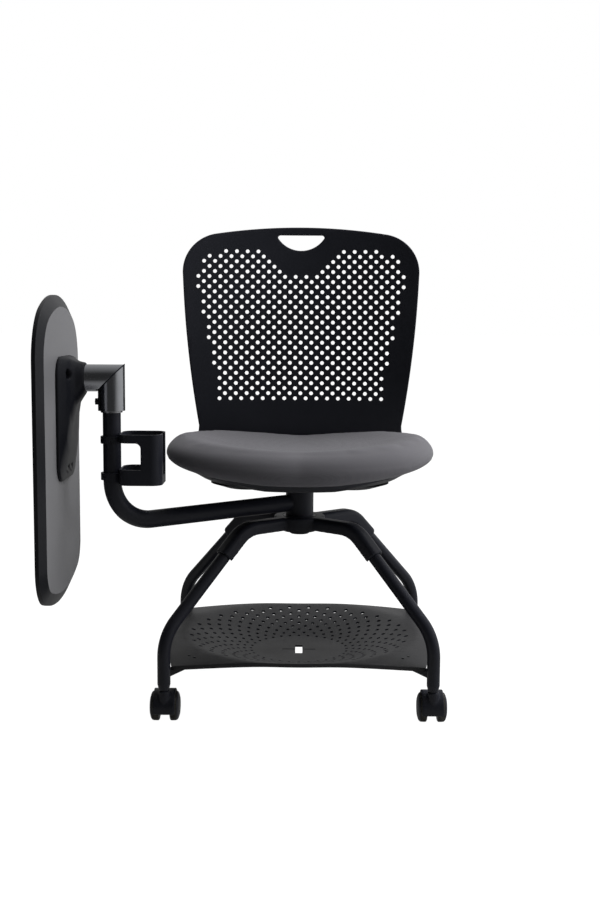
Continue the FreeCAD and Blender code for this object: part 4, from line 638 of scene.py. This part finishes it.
def swell(piece, base, foot):
    """Blows the cover up over the foam by cloth simulation; its foot is held."""
    held = piece.vertex_groups.new(name="held")
    for vert, (start, _) in zip(piece.data.vertices, base):
        held.add([vert.index], 1.0 if start.z < foot + PAD_HELD else 0.0, "REPLACE")
    cloth = piece.modifiers.new("swell", "CLOTH")
    cloth.settings.quality = 5
    cloth.settings.mass = 0.3
    cloth.settings.tension_stiffness = 25
    cloth.settings.compression_stiffness = 25
    cloth.settings.bending_stiffness = 2.0
    cloth.settings.use_pressure = True
    cloth.settings.uniform_pressure_force = 4.0
    cloth.settings.effector_weights.gravity = 0.0
    cloth.settings.vertex_group_mass = "held"
    cloth.point_cache.frame_start = 1
    cloth.point_cache.frame_end = PAD_STEPS
    scene = bpy.context.scene
    for step in range(1, PAD_STEPS + 1):
        scene.frame_set(step)
    apply_modifiers(piece)
    scene.frame_set(1)


def seat_pad():
    """The foam's form, remeshed, swollen, eased and tucked in over the rim of the shell."""
    form = bmesh.new()
    form.from_mesh(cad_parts["seat_pad"].data)
    bmesh.ops.remove_doubles(form, verts=form.verts, dist=SAME_PLACE)
    bmesh.ops.recalc_face_normals(form, faces=form.faces)
    low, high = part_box("seat_pad")
    mesh = bpy.data.meshes.new("seat_cushion")
    form.to_mesh(mesh)
    form.free()
    piece = bpy.data.objects.new("seat_cushion", mesh)
    bpy.context.scene.collection.objects.link(piece)
    remesh = piece.modifiers.new("remesh", "REMESH")
    remesh.mode = "VOXEL"
    remesh.voxel_size = PAD_VOXEL
    apply_modifiers(piece)
    base = [(vert.co.copy(), vert.normal.copy()) for vert in piece.data.vertices]
    for vert in piece.data.vertices:
        lifted = min(1.0, max(0.0, (vert.co.z - low.z - INSET_FROM) / INSET_OVER))
        vert.co -= vert.normal * PAD_INSET * lifted
    swell(piece, base, low.z)
    for vert, (start, outward) in zip(piece.data.vertices, base):
        raised = (vert.co - start).dot(outward)
        vert.co = start + outward * min(PAD_SWELL, max(PAD_SINK, raised))
    smooth = piece.modifiers.new("ease", "SMOOTH")
    smooth.factor = 0.5
    smooth.iterations = PAD_ROUNDS
    fine = piece.modifiers.new("fine", "SUBSURF")
    fine.levels = 1
    fine.render_levels = 1
    apply_modifiers(piece)
    for vert in piece.data.vertices:
        tucked = max(0.0, 1 - (vert.co.z - low.z) / TUCK_HEIGHT)
        vert.co.z += tucked * (PAD_TUCK + PAD_TUCK_ASIDE * aside(vert.co.x, high.x))
    piece.data.materials.append(woven_fabric())
    piece.data.shade_smooth()
    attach(piece, "seat")
    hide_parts("seat_pad")


seat_pad()


# Back shell
# One dished moulding of black polypropylene that leans back from the seat. It has rows of round
# holes less a V of plain wall under the hand slot, a rounded rim, and four screws at its foot.

# Heights and half widths of the outline, and how the sheet leans back and is dished
BACK_WALL = 0.005
BACK_TOP, BACK_FOOT, PAD_CROWN = 0.857, 0.398, 0.450
BACK_HALF, WAIST_HALF, FLARE_HALF = 0.230, 0.198, 0.207
SHOULDER_HEIGHT, WAIST_HEIGHT = 0.760, 0.470
BACK_SETBACK, BACK_LEAN, LEAN_POWER = 0.198, 0.060, 1.4
BACK_DISH, DISH_RISE = 0.036, 1.6
# The rows of holes, the field that they fill, the V without holes and the hand slot
HOLE_WIDTH, ROW_PITCH, COLUMN_PITCH = 0.0075, 0.0099, 0.01055
FIRST_ROW, ROW_COUNT, LAST_COLUMN = 0.809, 30, 20
FIELD_HALF, FIELD_FOOT_HALF, FIELD_FLARE = 0.2036, 0.1591, 1.74
FIELD_CORNER, FIELD_SHOULDER, CORNER_POWER = 0.036, 0.740, 4
NOTCH_ROWS, NOTCH_COLUMNS = 5, 8
GRIP_HALF, GRIP_TOP, GRIP_DEPTH, GRIP_CORNER = 0.046, 0.841, 0.030, 0.0075
RIM_ROUND, RIM_STEPS, HOLE_CHAMFER = 0.0022, 4, 0.0005
SEAT_ROLL = 0.014
# Places on the outline between its named points, as shares of the widths and heights
CORNER_OUT, CORNER_DROP = 0.74, 0.15
SHOULDER_OUT, SHOULDER_DROP, SHOULDER_INSET = 0.934, 0.44, 0.7
SIDE_BOW, FLARE_BOW, FLARE_RISE, FOOT_SHARE = 0.022, 0.15, 0.3, 0.8


def back_front(x, z):
    """How far back the front face lies: it leans back, and its sides come forward."""
    share = max(0.0, (z - PAD_CROWN) / (BACK_TOP - PAD_CROWN))
    rise = math.sin(math.pi / 2 * min(1.0, DISH_RISE * share))
    dished = BACK_DISH * (1 + rise) / 2
    return BACK_SETBACK + BACK_LEAN * share ** LEAN_POWER - dished * (x / BACK_HALF) ** 2


def field_half(z):
    """Half the width of the perforated field at a height."""
    last = FIRST_ROW - (ROW_COUNT - 1) * ROW_PITCH
    slope = (BACK_HALF - WAIST_HALF) / (SHOULDER_HEIGHT - WAIST_HEIGHT)
    over = max(0.0, (z - FIELD_SHOULDER) / (FIRST_ROW - FIELD_SHOULDER))
    return min(FIELD_FOOT_HALF + (z - last) * slope * FIELD_FLARE,
               FIELD_HALF - FIELD_CORNER * over ** CORNER_POWER)


def back_holes():
    """Every second column in each row, less a V under the hand slot, with the chamfer's width."""
    holes = []
    for row in range(ROW_COUNT):
        z = FIRST_ROW - row * ROW_PITCH
        for column in range(-LAST_COLUMN, LAST_COLUMN + 1):
            x = column * COLUMN_PITCH
            in_notch = row < NOTCH_ROWS and abs(column) < NOTCH_COLUMNS - row
            if (column + row) % 2 == 0 and abs(x) <= field_half(z) and not in_notch:
                holes.append((x, z, HOLE_WIDTH + 2 * HOLE_CHAMFER))
    return holes


def back_outline(inset):
    """The rim seen from in front, drawn in by an inset: shoulders, waist and flare."""
    drop, neck = BACK_TOP - SHOULDER_HEIGHT, WAIST_HEIGHT - PAD_CROWN
    wide, waist, flare = BACK_HALF - inset, WAIST_HALF - inset, FLARE_HALF - inset
    corner = (BACK_HALF * CORNER_OUT, BACK_TOP - inset - drop * CORNER_DROP)
    bend = (BACK_HALF * SHOULDER_OUT - inset * SHOULDER_INSET,
            BACK_TOP - drop * SHOULDER_DROP - inset * SHOULDER_INSET)
    shoulder = (wide, SHOULDER_HEIGHT)
    side = ((wide + waist) / 2 + WAIST_HALF * SIDE_BOW, (SHOULDER_HEIGHT + WAIST_HEIGHT) / 2)
    waist_point, flare_point = (waist, WAIST_HEIGHT), (flare, PAD_CROWN - SEAT_ROLL)
    neck_point = (waist + (flare - waist) * FLARE_BOW, PAD_CROWN + neck * FLARE_RISE)
    right = (arc(corner, bend, shoulder, steps=24) + arc(shoulder, side, waist_point, steps=32)
             + arc(waist_point, neck_point, flare_point, steps=10)
             + [flare_point, (FLARE_HALF * FOOT_SHARE - inset, BACK_FOOT + inset)])
    left = [(-x, z) for x, z in reversed(right)]
    top = arc((-corner[0], corner[1]), (0, BACK_TOP - inset), corner, steps=36)
    return top + right + left[:-1]


def grip_outline(inset):
    """The hand slot: a straight top with small corners over a bowed lower edge."""
    half, high, low = GRIP_HALF + inset, GRIP_TOP + inset, GRIP_TOP - GRIP_DEPTH - inset
    tip = GRIP_CORNER
    ease = tip * (1 - math.sqrt(2) / 2)
    left, right = (-half, high - tip), (half, high - tip)
    return (arc(left, (0, low), right, steps=28)
            + arc(right, (half - ease, high - ease), (half - tip, high), steps=6)
            + [(half - tip, high), (tip - half, high)]
            + arc((tip - half, high), (ease - half, high - ease), left, steps=6)[1:])


def back_shell():
    """The sheet is punched flat, stood up and dished."""
    quarter = rounded_edge(RIM_ROUND, RIM_STEPS)
    rim = quarter + [(out, BACK_WALL - down) for out, down in reversed(quarter)] + [(0.0, BACK_WALL)]
    hole_rim = [(HOLE_CHAMFER, HOLE_CHAMFER), (HOLE_CHAMFER, BACK_WALL - HOLE_CHAMFER), (0.0, BACK_WALL)]
    form = punched_sheet([back_outline(RIM_ROUND), grip_outline(RIM_ROUND)], [], back_holes(), hole_sides=16,
                         grid=0.0096, wall=BACK_WALL, rim=rim, hole_rim=hole_rim)
    # The sheet was drawn face up: stand it upright, with its face towards the sitter
    bmesh.ops.rotate(form, cent=(0, 0, 0), matrix=Matrix.Rotation(math.pi / 2, 3, "X"), verts=form.verts)
    for vert in form.verts:
        vert.co.y += back_front(vert.co.x, vert.co.z)
    piece = finish_mesh(form, "back_moulding", [shell_black])
    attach(piece, "seat")
    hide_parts("back_shell")


back_shell()
softened("back_screws", "seat", black_screw, rounding=0.0006)


# Cup holder
# A moulded ring with a ledge, windows and a slot for a mug's handle, clipped round the post.
# A zinc-plated ring sits on the post above it, under the elbow.

softened("cup_holder", "seat", nylon, rounding=0.0007)
dress("post_bush", zinc)


# Elbow
# Two halves of dark chromed tube, cut at 45 degrees, that meet on a black washer and turn on a
# pin square to the cut. A bolt clamps the lower half on the post.

dark_chrome, chrome_tree, chrome_shader = new_material("dark_chrome", (0.44, 0.45, 0.475), 0.09, metallic=1.0)
handling = object_noise(chrome_tree, 35.0, detail=4.0)
chrome_tree.links.new(spread(chrome_tree, handling, 0.13, 0.19), chrome_shader.inputs["Roughness"])
for node, body in (("elbow_lower", "elbow"), ("elbow_upper", "tablet")):
    softened(node, body, dark_chrome, rounding=0.0005)
softened("clamp_bolt", "elbow", black_screw, rounding=0.0005)


# Tablet bracket
# An aluminium casting, powder-coated black, that spreads from a round socket to a long foot. Four
# screws in its recesses hold the tablet.

cast_black = grained("coated_casting", colour=(0.0040, 0.0045, 0.0065), worn=(0.0055, 0.006, 0.0085),
                     roughness=(0.38, 0.48), grain=420.0, depth=0.0003, gloss=0.2)
flowing("tablet_bracket", "tablet", cast_black, voxel=0.0015, rounds=14)
softened("bracket_screws", "tablet", black_screw, rounding=0.0005)


# Writing tablet
# Fibreboard wrapped in grey film, with a wide bevel round its underside and a black rim. It
# hangs upright beside the seat and flips over the lap.

film = grained("grey_film", colour=(0.115, 0.115, 0.121), worn=(0.135, 0.135, 0.142), roughness=(0.42, 0.55),
               grain=900.0, depth=0.0001, mottle=5.0)
rim_black = grained("black_edge_band", colour=(0.0075, 0.008, 0.010), worn=(0.010, 0.0105, 0.013),
                    roughness=(0.35, 0.45), grain=900.0, depth=0.0001)
FLAT_FROM = 0.985


def writing_tablet():
    """Only the two flat faces have the film; bevel and edge are black."""
    piece = softened("tablet", "tablet", film, rounding=0.003, turn=0.35, segments=3)
    piece.data.materials.append(rim_black)
    for face in piece.data.polygons:
        face.material_index = 0 if abs(face.normal.x) > FLAT_FROM else 1


writing_tablet()


# Floor, light and camera
# A pale floor and backdrop under soft lamps, seen from where the photograph was taken. In the
# reflections they are graded, from a dim side by the camera to a bright one behind on the right.

FLOOR_COLOUR, FLOOR_REACH = (0.5, 0.5, 0.5), 40.0
FLOOR_GLOW, GLOW_SHARE = 1.25, 0.8
CAMERA_PLACE, CAMERA_LENS, SENSOR_WIDTH = (0.0, -2.153, 0.684), 48.0, 36.0
CAMERA_TILT, CAMERA_ROLL = 83.6, 0.35
FLOOR_BRIGHT_SIDE, ROOM_BRIGHT_SIDE = (0.5, 0.5, 0.0), (0.6, 0.6, 0.25)


def stage_floor():
    """A floor that glows towards the camera, keeps a faint shadow and is graded to reflections."""
    form = bmesh.new()
    bmesh.ops.create_grid(form, x_segments=1, y_segments=1, size=FLOOR_REACH)
    made, tree, shader = new_material("pale_floor", FLOOR_COLOUR, 0.9, gloss=0.0)
    place = tree.nodes.new("ShaderNodeTexCoord").outputs["Object"]
    side = tree.nodes.new("ShaderNodeVectorMath")
    side.operation = "DOT_PRODUCT"
    side.inputs[1].default_value = FLOOR_BRIGHT_SIDE
    reach = tree.nodes.new("ShaderNodeVectorMath")
    reach.operation = "LENGTH"
    for node in (side, reach):
        tree.links.new(place, node.inputs[0])
    far = spread(tree, side.outputs["Value"], low=0.05, high=0.6, from_low=-1.5, from_high=3.0)
    near = spread(tree, reach.outputs["Value"], low=0.30, high=0.0, from_low=0.6, from_high=2.2)
    glow = tree.nodes.new("ShaderNodeEmission")
    path = tree.nodes.new("ShaderNodeLightPath")
    level = tree.nodes.new("ShaderNodeMix")
    tree.links.new(path.outputs["Is Camera Ray"], level.inputs["Factor"])
    tree.links.new(math_node(tree, "MAXIMUM", far, near), level.inputs["A"])
    level.inputs["B"].default_value = FLOOR_GLOW
    tree.links.new(level.outputs["Result"], glow.inputs["Strength"])
    seen = math_node(tree, "MULTIPLY_ADD", path.outputs["Is Camera Ray"], GLOW_SHARE,
                     path.outputs["Is Glossy Ray"])
    mix = tree.nodes.new("ShaderNodeMixShader")
    tree.links.new(seen, mix.inputs["Fac"])
    tree.links.new(shader.outputs["BSDF"], mix.inputs[1])
    tree.links.new(glow.outputs["Emission"], mix.inputs[2])
    tree.links.new(mix.outputs["Shader"], tree.nodes["Material Output"].inputs["Surface"])
    finish_mesh(form, "floor", [made])


def soft_lamp(name, place, aim, size, power):
    """A rectangular lamp that shows in no reflection."""
    lamp = bpy.data.lights.new(name, "AREA")
    lamp.shape = "RECTANGLE"
    lamp.size, lamp.size_y = size
    lamp.energy = power
    shown = bpy.data.objects.new(name, lamp)
    shown.location = place
    shown.rotation_euler = (Vector(aim) - Vector(place)).to_track_quat("-Z", "Y").to_euler()
    shown.visible_glossy = False
    bpy.context.scene.collection.objects.link(shown)


def studio_light():
    """A backdrop that is white to the camera, a lamp above and one on the right."""
    world = bpy.data.worlds.new("studio")
    bpy.context.scene.world = world
    world.use_nodes = True
    tree = world.node_tree
    room = tree.nodes["Background"]
    room.inputs["Color"].default_value = (1.0, 1.0, 1.0, 1.0)
    side = tree.nodes.new("ShaderNodeVectorMath")
    side.operation = "DOT_PRODUCT"
    side.inputs[1].default_value = ROOM_BRIGHT_SIDE
    tree.links.new(tree.nodes.new("ShaderNodeTexCoord").outputs["Generated"], side.inputs[0])
    depth = spread(tree, side.outputs["Value"], low=0.04, high=0.55, from_low=-0.4, from_high=0.75)
    path = tree.nodes.new("ShaderNodeLightPath")
    level = math_node(tree, "MAXIMUM", depth, path.outputs["Is Camera Ray"])
    tree.links.new(level, room.inputs["Strength"])
    soft_lamp("top_lamp", place=(0.8, 0.5, 2.2), aim=(0, -0.05, 0.45), size=(1.8, 1.0), power=56.0)
    soft_lamp("right_lamp", place=(2.1, -0.3, 1.0), aim=(-0.3, -0.1, 0.4), size=(1.4, 1.6), power=32.0)


def photo_camera():
    """The photograph's place, tilt and slight roll."""
    made = bpy.data.cameras.new("camera")
    made.lens = CAMERA_LENS
    made.sensor_width = SENSOR_WIDTH
    shown = bpy.data.objects.new("camera", made)
    bpy.context.scene.collection.objects.link(shown)
    tilt, roll = math.radians(CAMERA_TILT), math.radians(CAMERA_ROLL)
    shown.matrix_world = (Matrix.Translation(CAMERA_PLACE) @ Matrix.Rotation(tilt, 4, "X")
                          @ Matrix.Rotation(roll, 4, "Z"))
    bpy.context.scene.camera = shown


stage_floor()
studio_light()
photo_camera()
bpy.context.scene.view_settings.view_transform = "Standard"
